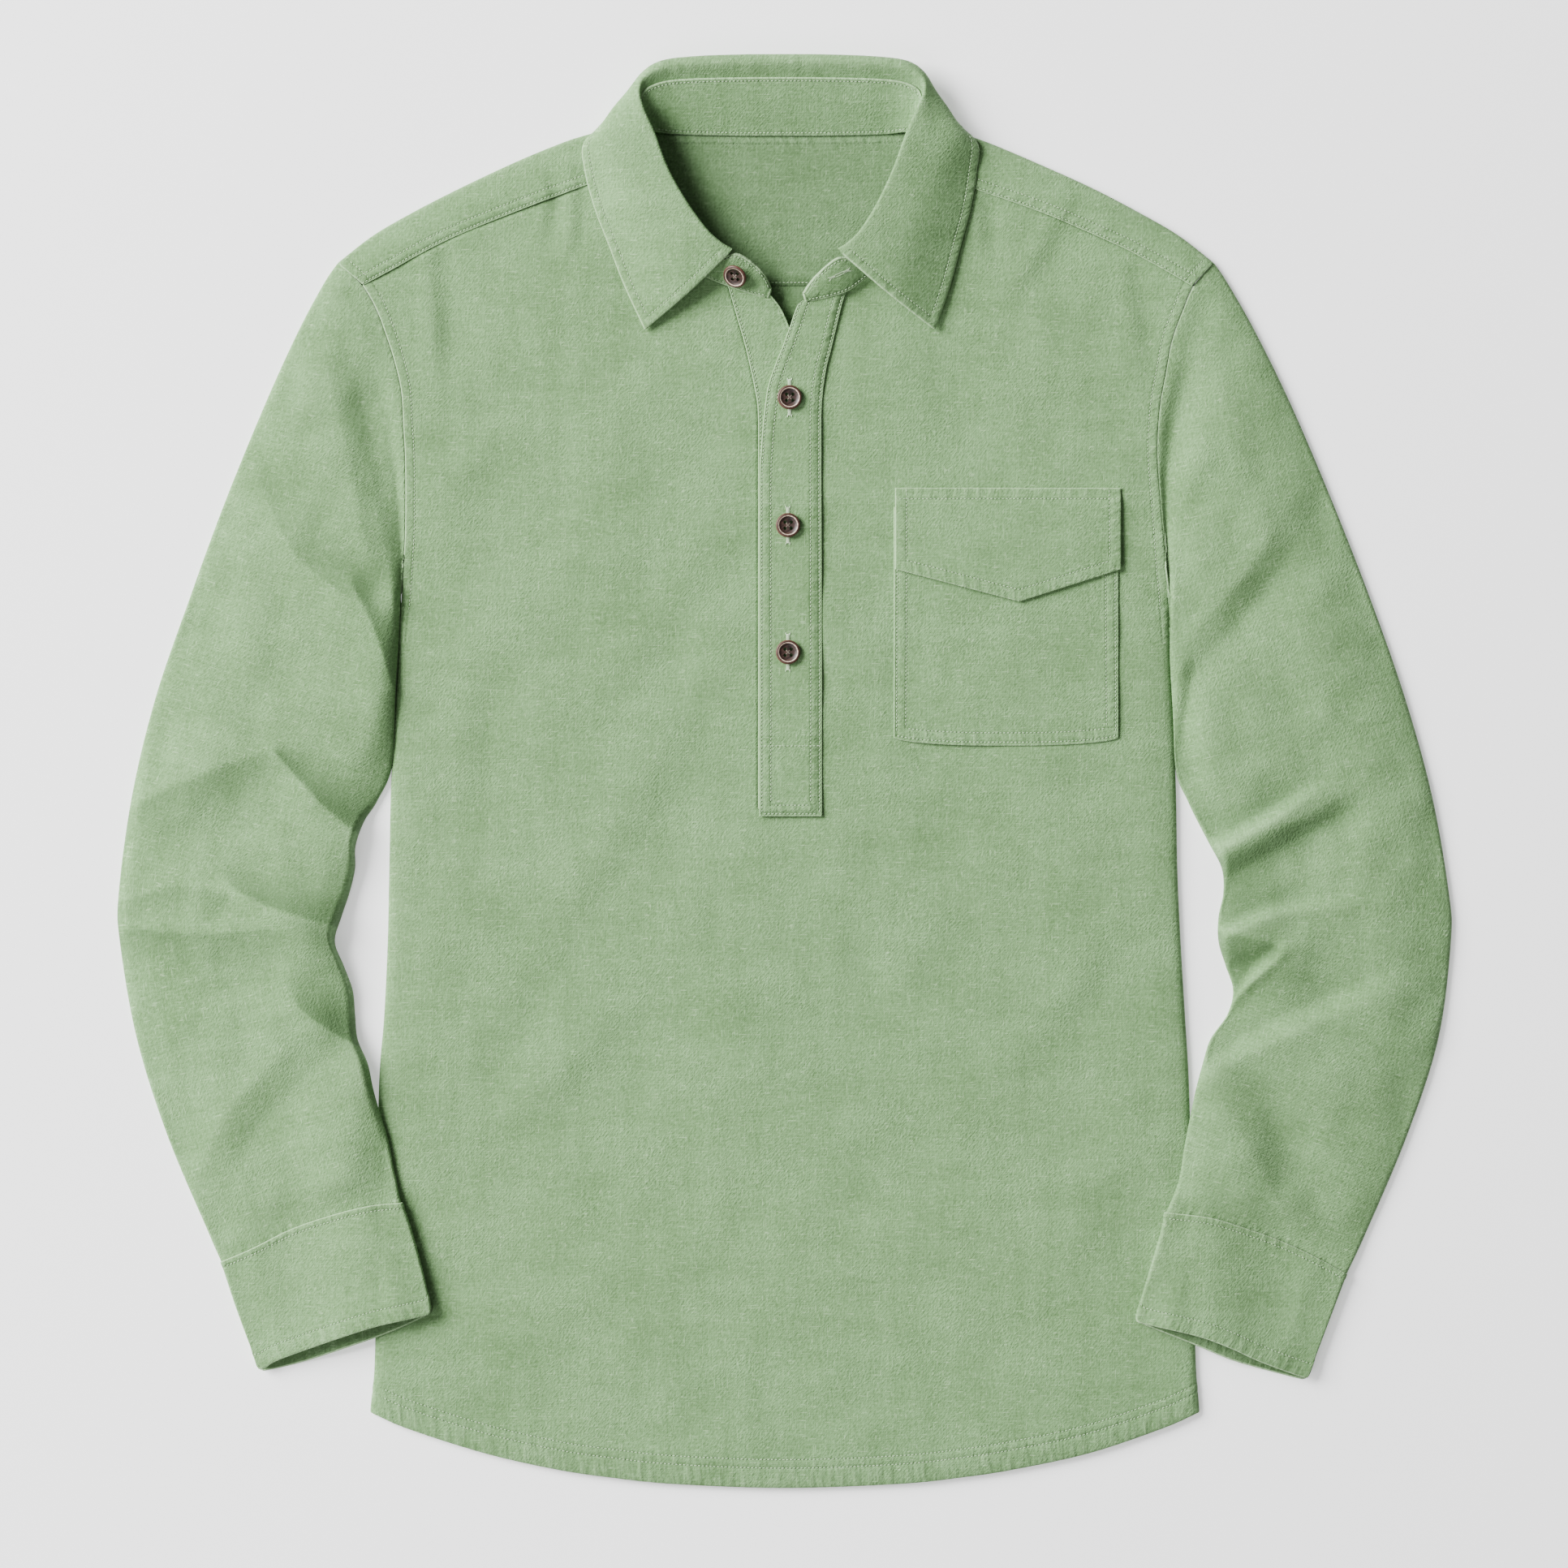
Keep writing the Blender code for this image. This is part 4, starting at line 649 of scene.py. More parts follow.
# Folds: a trough from start by middle to end, with a raised crest on its right-hand side. Its
# width is that of the side by the crest; the far side reaches further out.
# start x y | middle x y | end x y | width | far at start | far at end | depth | crest |
# share of them at start | at end
BODY_FOLDS = [
    (-21, 118, -62, 68, -98, 23, 15, 26, 26, 0.9, 0.6, 0.4, 0.3),
    (-30, 37, -84, -55, -178, -195, 16, 28, 30, 1.0, 0.8, 0.3, 0.3),
    (-44, -103, -98, -166, -170, -226, 15, 24, 24, 0.8, 0.6, 0.3, 0.3),
    (-156, 62, -163, 22, -165, -18, 12, 18, 18, 0.8, 0.5, 0.3, 0.3),
    (-147, 178, -166, 160, -184, 148, 11, 18, 18, 0.6, 0.5, 0.3, 0.4),
    (-189, 282, -186, 250, -184, 200, 7, 12, 12, 1.4, 0.7, 0.8, 0.1),
    (-127, 318, -129, 304, -133, 288, 4, 7, 6, 0.9, 0.4, 1.0, 0.1),
    (-113, 318, -113, 300, -116, 278, 4, 8, 6, 1.0, 0.5, 1.0, 0.1),
    (156, 298, 142, 276, 126, 256, 7, 12, 12, 1.0, 0.5, 0.8, 0.1),
    (195, 276, 200, 250, 203, 224, 6, 10, 10, 1.1, 0.4, 0.8, 0.1),
    (112, 314, 113, 300, 116, 282, 4, 7, 6, 0.8, 0.4, 1.0, 0.1),
    (192, -98, 172, -128, 145, -160, 12, 20, 20, 0.9, 0.5, 0.3, 0.3),
    (42, -64, 45, -100, 51, -134, 13, 20, 20, 0.8, 0.5, 0.2, 0.2),
]


FOLD_STEPS = 16         # straight steps that a fold's line is made of


def along_fold(x, y, points):
    """Distance of the points x, y from a curved line through three points, how far to its
    right-hand side they lie, from -1 to 1, and how far along it, from 0 to 1.
    """
    spot = np.stack([x, y], axis=-1)
    line = spline_through(points, 2.0 * np.linspace(0.0, 1.0, FOLD_STEPS + 1))
    best = np.full(len(x), 1e9)
    turn, place = np.zeros(len(x)), np.zeros(len(x))
    for k in range(FOLD_STEPS):
        step = line[k + 1] - line[k]
        length = np.linalg.norm(step)
        away = spot - line[k]
        share = np.clip(away @ step / length ** 2, 0.0, 1.0)
        gap = np.linalg.norm(away - share[:, None] * step, axis=1)
        right = (away[:, 0] * step[1] - away[:, 1] * step[0]) / length
        nearer = gap < best
        best = np.where(nearer, gap, best)
        turn = np.where(nearer, np.clip(right / np.maximum(gap, 0.01), -1.0, 1.0), turn)
        place = np.where(nearer, (k + share) / FOLD_STEPS, place)
    return best, turn, place


def fold_height(folds, x, y, crisp):
    """Sum of the troughs and crests of a table of folds at the points x, y.

    crisp is the power of the crests' profile: 2 is soft and 1 comes to an edge.
    """
    total = np.zeros_like(x)
    for x0, y0, x1, y1, x2, y2, width, far0, far1, depth, crest, at_start, at_end in folds:
        best, turn, place = along_fold(x, y, [(x0, y0), (x1, y1), (x2, y2)])
        strength = np.where(place < 0.5, at_start + (1.0 - at_start) * smoothstep(2.0 * place),
                            at_end + (1.0 - at_end) * smoothstep(2.0 - 2.0 * place))
        far = far0 + (far1 - far0) * place
        reach = width + (far - width) * 0.5 * (1.0 - turn)
        trough = depth * np.exp(-(best / reach) ** (1.8 + 0.2 * turn))
        away = np.abs(best - CREST_PLACE * width) / (CREST_WIDTH * width)
        ridge = crest * np.exp(-away ** crisp) * smoothstep(turn)
        ridge = ridge * smoothstep(best / (CREST_START * width))
        total += strength * (ridge - trough)
    return total


def slack(x, y, size, seed):
    """Gentle unevenness of cloth laid by hand, about -1 to 1, with hollows of a given size."""
    spots = np.column_stack([x, y, np.full(len(x), seed)]) / size
    return np.array([noise.noise(Vector(spot)) for spot in spots])


def inside_front(x, y):
    """How far the points x, y lie inside the side seams and above the hem."""
    from_side = np.minimum(x - x_at(SIDE_LEFT, y), x_at(SIDE_RIGHT, y) - x)
    return from_side, y - y_at(HEM, x)


def front_top(x, y):
    """Height of the outer face of the front, before its sewn edges."""
    from_side, from_hem = inside_front(x, y)
    open_side = smoothstep((y - UNDERARM_Y + UNDERARM_BLEND) / (2.0 * UNDERARM_BLEND))
    rise = np.maximum(round_off(from_side / SIDE_ROLL), open_side)
    rise = rise * round_off(from_hem / SIDE_ROLL)
    neck = NECK_LIFT * np.exp(-((x / NECK_WIDE) ** 2 + ((y - NECK_Y) / NECK_TALL) ** 2))
    swell = PANEL_TOP - EDGE_TOP + fold_height(BODY_FOLDS, x, y, 2.0)
    turn = SIDE_DROP * (1.0 - round_off(from_side / SIDE_TURN)) * (1.0 - open_side)
    return EDGE_TOP + rise * swell + neck - turn


def cut_line(rows, y):
    """The part of a downward outline below y, and the part above it."""
    line = dense(rows)
    split = np.array([[float(x_at(rows, y)), y]])
    lower = np.vstack([split, line[line[:, 1] < y - 0.5]])
    upper = np.vstack([line[line[:, 1] > y + 0.5], split])
    return lower, upper


def front_surface(across, up):
    """across: 0-1 left half, 1-2 slit, 2-3 right half. up: 0-1 hem to slit foot, 1-2 above."""
    slit_left, slit_right = UNDER_OUTER[-1][0], SLIT_RIGHT[-1][0]
    hem_line = dense(HEM)
    low_left, high_left = cut_line(ARMHOLE_LEFT[:-1] + SIDE_LEFT, SLIT_FOOT_Y)
    low_right, high_right = cut_line(ARMHOLE_RIGHT[:-1] + SIDE_RIGHT, SLIT_FOOT_Y)
    high_left = high_left[high_left[:, 1] <= FORWARD_LEFT[0][1]]
    high_right = high_right[high_right[:, 1] <= FORWARD_RIGHT[0][1]]
    marks = [low_left[0, 0], slit_left, slit_right, low_right[0, 0]]
    foot = [[(marks[k], SLIT_FOOT_Y), (marks[k + 1], SLIT_FOOT_Y)] for k in range(3)]
    hem_marks = [HEM[0][0], slit_left, slit_right, HEM[-1][0]]
    hem = []
    for k in range(3):
        inside = (hem_line[:, 0] > hem_marks[k] + 1.0) & (hem_line[:, 0] < hem_marks[k + 1] - 1.0)
        ends = [[(hem_marks[j], float(y_at(HEM, hem_marks[j])))] for j in (k, k + 1)]
        hem.append(np.vstack([ends[0], hem_line[inside], ends[1]]))
    inner_low = [[(x, float(y_at(HEM, x))), (x, SLIT_FOOT_Y)] for x in (slit_left, slit_right)]
    low_edges = [low_left[::-1], inner_low[0], inner_low[1], low_right[::-1]]
    high_edges = [high_left[::-1], UNDER_OUTER[::-1], SLIT_RIGHT[::-1], high_right[::-1]]
    top = [np.vstack([dense(FORWARD_LEFT), dense(NECK_LEFT)[1:]]),
           [UNDER_OUTER[0], SLIT_RIGHT[0]],
           np.vstack([dense(FORWARD_RIGHT), dense(NECK_RIGHT)[1:]])[::-1]]
    plan = np.zeros((len(across), 2))
    for zone in range(3):
        for band, edges, low, high in ((0, low_edges, hem, foot), (1, high_edges, foot, top)):
            here = ((np.clip(np.floor(across), 0, 2) == zone)
                    & (np.clip(np.floor(up), 0, 1) == band))
            if here.any():
                plan[here] = four_sided(edges[zone], edges[zone + 1], low[zone], high[zone],
                                        across[here] - zone, up[here] - band)
    x, y = plan[:, 0], plan[:, 1]
    from_side, from_hem = inside_front(x, y)
    calm = smoothstep(from_side / CALM_EDGE) * smoothstep(from_hem / CALM_EDGE)
    uneven = 1.2 * slack(x, y, 62.0, 3.0) + 0.6 * slack(x, y, 27.0, 8.0)
    return np.column_stack([x, y, front_top(x, y) + calm * uneven])


def beside_opening(across, up):
    """Whether a cell is cloth, in a piece that is left open above the middle of its foot."""
    return not (1.0 < across < 2.0 and up > 1.0)


HEM_MARKS = (0.3, 0.8, 1.6, 5.0, 8.4, 10.4, 11.7, 13.0, 15.4, 16.4, 17.6)  # stations at its rows
front_half = stations(215.0, 2.6, EDGE_MARKS)
front, front_net = lay_cloth(
    "front_panel",
    np.concatenate([front_half, 1.0 + np.linspace(0.0, 1.0, 14)[1:-1], 3.0 - front_half[::-1]]),
    np.concatenate([stations(376.0, 3.2, HEM_MARKS), 1.0 + stations(320.0, 3.2)[1:]]),
    front_surface, sewn=FRONT_SEWN, pucker=0.07, keep=beside_opening)
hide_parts("front")


# Stitches are short grains of tonal cotton thread, pulled a little into the cloth, with a
# needle hole between each and the next.

STITCH_LIFT = 0.06      # how far above the cloth's face the middle of a stitch lies
STITCH_ENDS = (0.13, 0.87)      # shares of a stitch's length where its thread shows
CORNER_PAST = 0.3       # how far a row may run past the one that it meets at a corner
THREAD_RADIUS = 0.27
THREAD_SOFT = (0.250, 0.390, 0.205)
THREAD_PALE = (0.430, 0.590, 0.355)


def thread_finish(name, soft, pale):
    """Matt cotton thread, a little uneven in shade from stitch to stitch."""
    made, tree, shader = new_finish(name)
    place = add_node(tree, "ShaderNodeTexCoord").outputs["Object"]
    share = spread(tree, noise_of(tree, place, 380.0, 1.0), 0.3, 0.7)
    fill(tree, shader, {"Base Color": blend_colours(tree, share, soft, pale), "Roughness": 0.7,
                        "Sheen Weight": 0.2})
    return made


THREAD = thread_finish("tonal thread", THREAD_SOFT, THREAD_PALE)


def grain_template(sides, rings):
    """Points and faces of one stitch: a grain along X, 1 long and 1 thick."""
    bm = bmesh.new()
    bmesh.ops.create_uvsphere(bm, u_segments=sides, v_segments=rings, radius=0.5)
    bmesh.ops.rotate(bm, verts=bm.verts, matrix=Matrix.Rotation(math.pi / 2, 3, "Y"))
    bm.verts.index_update()
    points = np.array([v.co for v in bm.verts])
    faces = [[v.index for v in f.verts] for f in bm.faces]
    bm.free()
    return points, faces


GRAIN_POINTS, GRAIN_FACES = grain_template(5, 4)


def row_on(net, side, distance, start=0.0, finish=1.0, stops=()):
    """A line on a net at a distance from one side: places, outward directions and run.

    It stops where it comes nearer to another side than that side's distance in stops.
    """
    gaps = net["gaps"]
    upright = side in ("left", "right")
    tables = [net["places"], net["out"], gaps["low" if upright else "left"][..., None]]
    tables += [gaps[other][..., None] for other, _ in stops]
    table = np.concatenate(tables, axis=-1)
    gap = gaps[side] if upright else gaps[side].T
    table = table if upright else table.transpose(1, 0, 2)
    lines = []
    first, last = round(start * (len(gap) - 1)), round(finish * (len(gap) - 1))
    for k in range(first, last + 1):
        order = slice(None) if gap[k, 0] < gap[k, -1] else slice(None, None, -1)
        spot = [np.interp(distance, gap[k][order], column) for column in table[k][order].T]
        if all(spot[7 + j] > limit - CORNER_PAST for j, (_, limit) in enumerate(stops)):
            lines.append(spot[:7])
    return np.array(lines)


def stitches_along(line, lift=STITCH_LIFT):
    """Start and end points of the stitches of one row, a needle hole apart."""
    run = line[:, 6]
    marks = np.arange(math.ceil(run[0] / STITCH), int(run[-1] / STITCH)) * STITCH
    pairs = []
    for mark in marks:
        ends = [np.array([np.interp(mark + part * STITCH, run, line[:, j]) for j in range(6)])
                for part in STITCH_ENDS]
        pairs.append([end[:3] + lift * end[3:] for end in ends])
    return pairs


def sew(name, rows, radius=THREAD_RADIUS, finish=THREAD):
    """Joins all the stitches of some rows, given as start and end points, into one piece."""
    pairs = np.array([pair for row in rows for pair in row])
    start, stop = pairs[:, 0], pairs[:, 1]
    ahead = stop - start
    length = np.linalg.norm(ahead, axis=1)[:, None]
    ahead = ahead / length
    aside = np.cross([0.0, 0.0, 1.0], ahead)
    aside /= np.maximum(np.linalg.norm(aside, axis=1), 1e-9)[:, None]
    above = np.cross(ahead, aside)
    p = GRAIN_POINTS
    round_it = p[None, :, 1:2] * aside[:, None] + p[None, :, 2:3] * above[:, None]
    points = (0.5 * (start + stop)[:, None] + p[None, :, 0:1] * (length * ahead)[:, None]
              + 2.0 * radius * round_it)
    faces = [[k * len(p) + i for i in face] for k in range(len(pairs)) for face in GRAIN_FACES]
    mesh = bpy.data.meshes.new(name)
    mesh.from_pydata((points.reshape(-1, 3) * MM).tolist(), [], faces)
    mesh.materials.append(finish)
    mesh.shade_smooth()
    piece = in_scene(name, mesh)
    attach(piece, "root")
    return piece


def rows_of(net, sewn, lift=STITCH_LIFT):
    """All the stitches of a piece's table of sewn edges; its rows meet at the corners."""
    made = []
    for side, rows, start, finish in sewn:
        for k, row in enumerate(rows):
            stops = [(other, others[min(k, len(others) - 1)])
                     for other, others, _, _ in sewn if other != side and others]
            made.append(stitches_along(row_on(net, side, row, start, finish, stops), lift=lift))
    return made


front_stitching = sew("front_stitching", rows_of(front_net, FRONT_SEWN))

# ---------------------------------------------------------------- the yoke
# The yoke lines the shoulders: from its seam with the back it lies flat under the neck, folds
# over both shoulders and ends on the front, where it is pressed under and sewn down with two
# rows. The seam with the back shows through the open neck, with one row just above it.

SHOULDER_TOP = 4.4      # height of the fold at the shoulder
SHOULDER_ROLL = 2.6     # how far in from the fold's tip the cloth starts to turn
YOKE_STEP = 0.75        # height of the yoke's edge over the front that it laps
YOKE_LAP = 0.8          # how far it laps over the front's seam
BACK_LAP, BACK_LAP_RISE = 1.0, 0.75     # how far and how high the yoke laps over the back
BACK_LAP_SHARE = 0.12   # share of its flat part that slopes down from there
YOKE_FULL = 0.9         # how far the strip on the front stands off
YOKE_SEWN = [("high", (1.4, 5.9), 0.0, 1.0), ("left", (ARMHOLE_ROW,), 0.42, 1.0),
             ("right", (ARMHOLE_ROW,), 0.42, 1.0)]
YOKE_STRIPS = [(0.0, 0.375), (0.625, 1.0)]      # shares of the yoke's width beside the neck
BACK_ROW = (1.6, 0.2, 0.8)      # the row that shows inside the neck: distance, start, end
SHOULDER_LEFT = [
    (-247.5, 282.6), (-227.7, 297.9), (-204.3, 311.4), (-177.8, 324.9), (-149.0, 338.4),
    (-127.4, 347.4), (-114.8, 351.9), (-96.0, 356.8), (-76.5, 360.0),
]
SHOULDER_RIGHT = [
    (237.6, 282.6), (217.8, 297.9), (194.4, 311.4), (168.3, 324.9), (138.2, 338.4), (117.0, 347.4),
    (104.9, 351.9), (90.0, 356.4), (72.0, 360.0),
]
NECK_BACK = [(-76.5, 357.4), (-66.0, 355.2), (-45.0, 354.5), (0.0, 354.3),
             (42.0, 354.5), (62.0, 355.2), (72.0, 357.4)]


def over_back(plan, b):
    """Places on the flat part of the yoke, whose edge laps over the back."""
    lap = 1.0 - smoothstep(b / BACK_LAP_SHARE)
    return np.column_stack([plan[:, 0], plan[:, 1] - BACK_LAP * lap, BACK_LAP_RISE * lap])


def shoulder_places(a, b, share, rows, strip, seam_x):
    """Places on one shoulder of the yoke; b runs 0-1 flat, 1-2 over the fold, 2-3 the strip."""
    tip = along(rows, share)
    ahead = along(rows, np.minimum(share + 0.02, 1.0)) - along(rows, np.maximum(share - 0.02, 0.0))
    outward = np.column_stack([-ahead[:, 1], ahead[:, 0]])
    outward /= np.linalg.norm(outward, axis=1)[:, None]
    outward *= np.sign(outward[:, 1])[:, None]
    seam = np.column_stack([seam_x, np.full(len(a), YOKE_SEAM_Y)])
    fold_start = tip - SHOULDER_ROLL * outward
    low = seam + np.minimum(b, 1.0)[:, None] * (fold_start - seam)
    turn = math.pi * (np.clip(b, 1.0, 2.0) - 1.5)
    fold = tip - (SHOULDER_ROLL * (1.0 - np.cos(turn)))[:, None] * outward
    fold_z = 0.5 * SHOULDER_TOP * (1.0 + np.sin(turn))
    lap = along(strip, share) - YOKE_LAP * outward
    part = np.clip(b - 2.0, 0.0, 1.0)
    top = fold_start + part[:, None] * (lap - fold_start)
    high = front_top(lap[:, 0], lap[:, 1]) + YOKE_STEP
    full = YOKE_FULL * np.sin(math.pi * part)
    full = full + 0.5 * slack(top[:, 0], top[:, 1], 24.0, 5.0) * part
    top_z = SHOULDER_TOP + part * (high - SHOULDER_TOP) + full
    raised = np.where((b <= 2.0)[:, None], np.column_stack([fold, fold_z]),
                      np.column_stack([top, top_z]))
    return np.where((b <= 1.0)[:, None], over_back(low, b), raised)


def yoke_surface(across, up):
    """across: 0-1 left shoulder, 1-2 neck, 2-3 right. up: 0-1 back, 1-2 fold, 2-3 strip."""
    back_left = float(x_at(ARMHOLE_LEFT, YOKE_SEAM_Y)) + SEAM
    back_right = float(x_at(ARMHOLE_RIGHT, YOKE_SEAM_Y)) - SEAM
    corners = [back_left, SHOULDER_LEFT[-1][0], SHOULDER_RIGHT[-1][0], back_right]
    seam_x = np.interp(across, [0, 1, 2, 3], corners)
    left = shoulder_places(across, up, np.clip(across, 0.0, 1.0), SHOULDER_LEFT, FORWARD_LEFT,
                           seam_x)
    right = shoulder_places(across, up, np.clip(3.0 - across, 0.0, 1.0), SHOULDER_RIGHT,
                            FORWARD_RIGHT, seam_x)
    seam = np.column_stack([seam_x, np.full(len(across), YOKE_SEAM_Y)])
    edge = along(NECK_BACK, np.clip(across - 1.0, 0.0, 1.0))
    middle = over_back(seam + np.minimum(up, 1.0)[:, None] * (edge - seam), up)
    inner = np.where((across >= 2.0)[:, None], right, middle)
    return np.where((across <= 1.0)[:, None], left, inner)


shoulder = stations(190.0, 1.9, EDGE_MARKS)
yoke, yoke_net = lay_cloth(
    "shoulder_yoke",
    np.concatenate([shoulder, 1.0 + np.linspace(0.0, 1.0, 60)[1:-1], 3.0 - shoulder[::-1]]),
    np.concatenate([np.linspace(0.0, 1.0, 16), 1.0 + np.linspace(0.0, 1.0, 8)[1:],
                    2.0 + stations(38.0, 1.3, (), EDGE_MARKS)[1:]]),
    yoke_surface, sewn=YOKE_SEWN, pucker=0.07, flip=True, seed=2.0, keep=beside_opening)
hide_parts("yoke")
yoke_rows = [stitches_along(row_on(yoke_net, "high", row, start, finish))
             for row in YOKE_SEWN[0][1] for start, finish in YOKE_STRIPS]
yoke_rows += [stitches_along(row_on(yoke_net, side, row, start, finish))
              for side, (row,), start, finish in YOKE_SEWN[1:]]
yoke_rows.append(stitches_along(row_on(yoke_net, "low", *BACK_ROW), lift=-CLOTH - STITCH_LIFT))
yoke_stitching = sew("yoke_stitching", yoke_rows)

# ---------------------------------------------------------------- the placket
# The opening is bound by two bands of doubled cloth. The under band, on the left, carries the
# buttons and shows only in the open neck. The buttonhole band laps over it, is sewn with two
# rows down each side, and ends in a sewn box.

BAND = 1.2              # thickness of the buttonhole band
BAND_EASE = 0.15        # gap under it
UNDER_STEP = 1.05       # height of the under band over the front
UNDER_LAP = 0.6         # how far the under band laps over the slit's edge
BAND_FOOT_Y = -24.3
BOX_TOP_Y = 14.9        # where the row across the top of the sewn box runs
UNDER_INNER = [(-8.2, 264.8), (-1.4, 255.6), (4.6, 240.0), (11.0, 215.0),
               (12.6, 190.0), (12.6, 160.0), (12.6, 70.0), (12.6, SLIT_FOOT_Y)]
BAND_LEFT = [
    (9.9, 261.0), (6.8, 257.9), (2.7, 246.6), (-1.4, 235.3), (-5.9, 224.1), (-9.5, 212.8),
    (-11.7, 196.7), (-13.3, 177.3), (-14.0, 159.8), (-14.0, 70.0), (-14.0, BAND_FOOT_Y),
]
UNDER_SEWN = [("left", (1.5,), 0.0, 1.0), ("right", (1.5,), 0.0, 1.0)]
BAND_SEWN = [("left", (1.5, 6.4), 0.0, 0.995), ("right", (1.5, 6.4), 0.0, 0.995),
             ("low", (1.5, 6.4), 0.0, 1.0)]


def on_front(plan, raise_by):
    """Places above the front at the points of a plan."""
    return np.column_stack([plan, front_top(plan[:, 0], plan[:, 1]) + raise_by])


def under_band_surface(across, up):
    low = [(UNDER_OUTER[-1][0] - UNDER_LAP, SLIT_FOOT_Y), (UNDER_INNER[-1][0], SLIT_FOOT_Y)]
    left = [(x - UNDER_LAP, y) for x, y in UNDER_OUTER]
    plan = four_sided(left[::-1], UNDER_INNER[::-1], low, [left[0], UNDER_INNER[0]], across, up)
    return on_front(plan, UNDER_STEP)


def band_surface(across, up):
    plan = four_sided(BAND_LEFT[::-1], BAND_RIGHT[::-1], [BAND_LEFT[-1], BAND_RIGHT[-1]],
                      [BAND_LEFT[0], BAND_RIGHT[0]], across, up)
    soft = 0.3 * slack(plan[:, 0], plan[:, 1], 19.0, 6.0)
    down = np.maximum(smoothstep((across - 0.78) / 0.19),
                      smoothstep((SLIT_FOOT_Y - plan[:, 1]) / 3.0))
    return on_front(plan, BAND + BAND_EASE + UNDER_STEP * (1.0 - down) + soft)


under_band, under_net = lay_cloth(
    "under_band", stations(33.0, 1.3, EDGE_MARKS, EDGE_MARKS), stations(287.0, 1.5),
    under_band_surface, sewn=UNDER_SEWN, pucker=0.06, seed=3.0, faces=(SAGE_CLOTH,))
button_band, band_net = lay_cloth(
    "buttonhole_band", stations(34.5, 1.2, EDGE_MARKS, EDGE_MARKS),
    stations(286.0, 1.4, EDGE_MARKS), band_surface, sewn=BAND_SEWN, pucker=0.07,
    wall=BAND, seed=4.0, faces=(SAGE_CLOTH,))
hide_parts("under_placket")
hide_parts("placket")
under_stitching = sew("under_band_stitching", rows_of(under_net, UNDER_SEWN[:1]))
band_rows = rows_of(band_net, BAND_SEWN)
band_rows.append(stitches_along(row_on(band_net, "low", BOX_TOP_Y - BAND_FOOT_Y, 0.06, 0.94)))
band_stitching = sew("buttonhole_band_stitching", band_rows)

# ---------------------------------------------------------------- the chest pocket
# A patch pocket of one piece, pressed under all round and sewn on with two rows, and over its
# mouth a pointed flap of doubled cloth, sewn to the front along its top.

POCKET_LEFT, POCKET_RIGHT = 60.3, 184.8
POCKET_TOP, POCKET_FOOT = 147.0, 19.7
POCKET_BELLY = 4.9      # how far the rounded foot hangs below its corners
POCKET_SINK = 0.25      # how far the pocket presses into the soft front
POCKET_FULL, FLAP_FULL = 0.9, 1.5       # how far their middles stand off it
POCKET_SEWN = [("left", (2.0, 7.2), 0.0, 1.0), ("right", (2.0, 7.2), 0.0, 1.0),
               ("low", (2.0, 7.2), 0.0, 1.0)]
FLAP = 1.5              # thickness of the flap
FLAP_LEFT, FLAP_RIGHT = 61.0, 186.0
FLAP_TOP, FLAP_SIDE_FOOT, FLAP_POINT = 157.6, 112.5, 94.5
FLAP_POINT_X = 129.6
FLAP_SEWN = [("left", (6.4,), 0.0, 1.0), ("right", (6.4,), 0.0, 1.0),
             ("low", (6.6,), 0.0, 1.0), ("high", (6.2,), 0.0, 1.0)]


def pocket_surface(across, up):
    x = POCKET_LEFT + across * (POCKET_RIGHT - POCKET_LEFT)
    hang = round_off(np.minimum(across, 1.0 - across) / 0.45)
    foot = POCKET_FOOT - POCKET_BELLY * hang
    plan = np.column_stack([x, foot + up * (POCKET_TOP - foot)])
    full = POCKET_FULL * np.sin(math.pi * across)
    full = full * np.sin(math.pi * np.clip(0.1 + 0.9 * up, 0, 1))
    soft = 0.5 * slack(plan[:, 0], plan[:, 1], 27.0, 7.0) * np.sin(math.pi * across)
    return on_front(plan, CLOTH - POCKET_SINK + full + soft)


def flap_surface(across, up):
    x = FLAP_LEFT + across * (FLAP_RIGHT - FLAP_LEFT)
    foot = np.interp(x, [FLAP_LEFT, FLAP_POINT_X, FLAP_RIGHT],
                     [FLAP_SIDE_FOOT, FLAP_POINT, FLAP_SIDE_FOOT])
    y = foot + up * (FLAP_TOP - foot)
    over_pocket = smoothstep((FLAP_TOP - 2.0 - y) / 7.0)
    belly = np.sin(math.pi * across) * np.sin(math.pi * np.clip((FLAP_TOP - y) / 90.0, 0.0, 1.0))
    soft = 0.35 * slack(x, y, 23.0, 9.0) * np.sin(math.pi * up)
    high = FLAP + over_pocket * CLOTH + FLAP_FULL * belly + soft
    return on_front(np.column_stack([x, y]), high)


pocket, pocket_net = lay_cloth(
    "chest_pocket", stations(124.5, 1.6, EDGE_MARKS, EDGE_MARKS),
    stations(127.0, 1.6, EDGE_MARKS), pocket_surface, sewn=POCKET_SEWN, pucker=0.08, seed=5.0)
point = (FLAP_POINT_X - FLAP_LEFT) / (FLAP_RIGHT - FLAP_LEFT)
flap, flap_net = lay_cloth(
    "pocket_flap_cloth",
    np.concatenate([point * stations(68.6, 1.5, EDGE_MARKS),
                    (point + (1.0 - point) * stations(56.4, 1.5, (), EDGE_MARKS))[1:]]),
    stations(58.0, 1.3, EDGE_MARKS, EDGE_MARKS), flap_surface, sewn=FLAP_SEWN, pucker=0.07,
    wall=FLAP, seed=6.0, faces=(SAGE_CLOTH,))
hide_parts("pocket")
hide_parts("pocket_flap")
pocket_stitching = sew("pocket_stitching", rows_of(pocket_net, POCKET_SEWN))
flap_stitching = sew("flap_stitching",
                     rows_of(flap_net, FLAP_SEWN[:3]) + rows_of(flap_net, FLAP_SEWN[3:]))

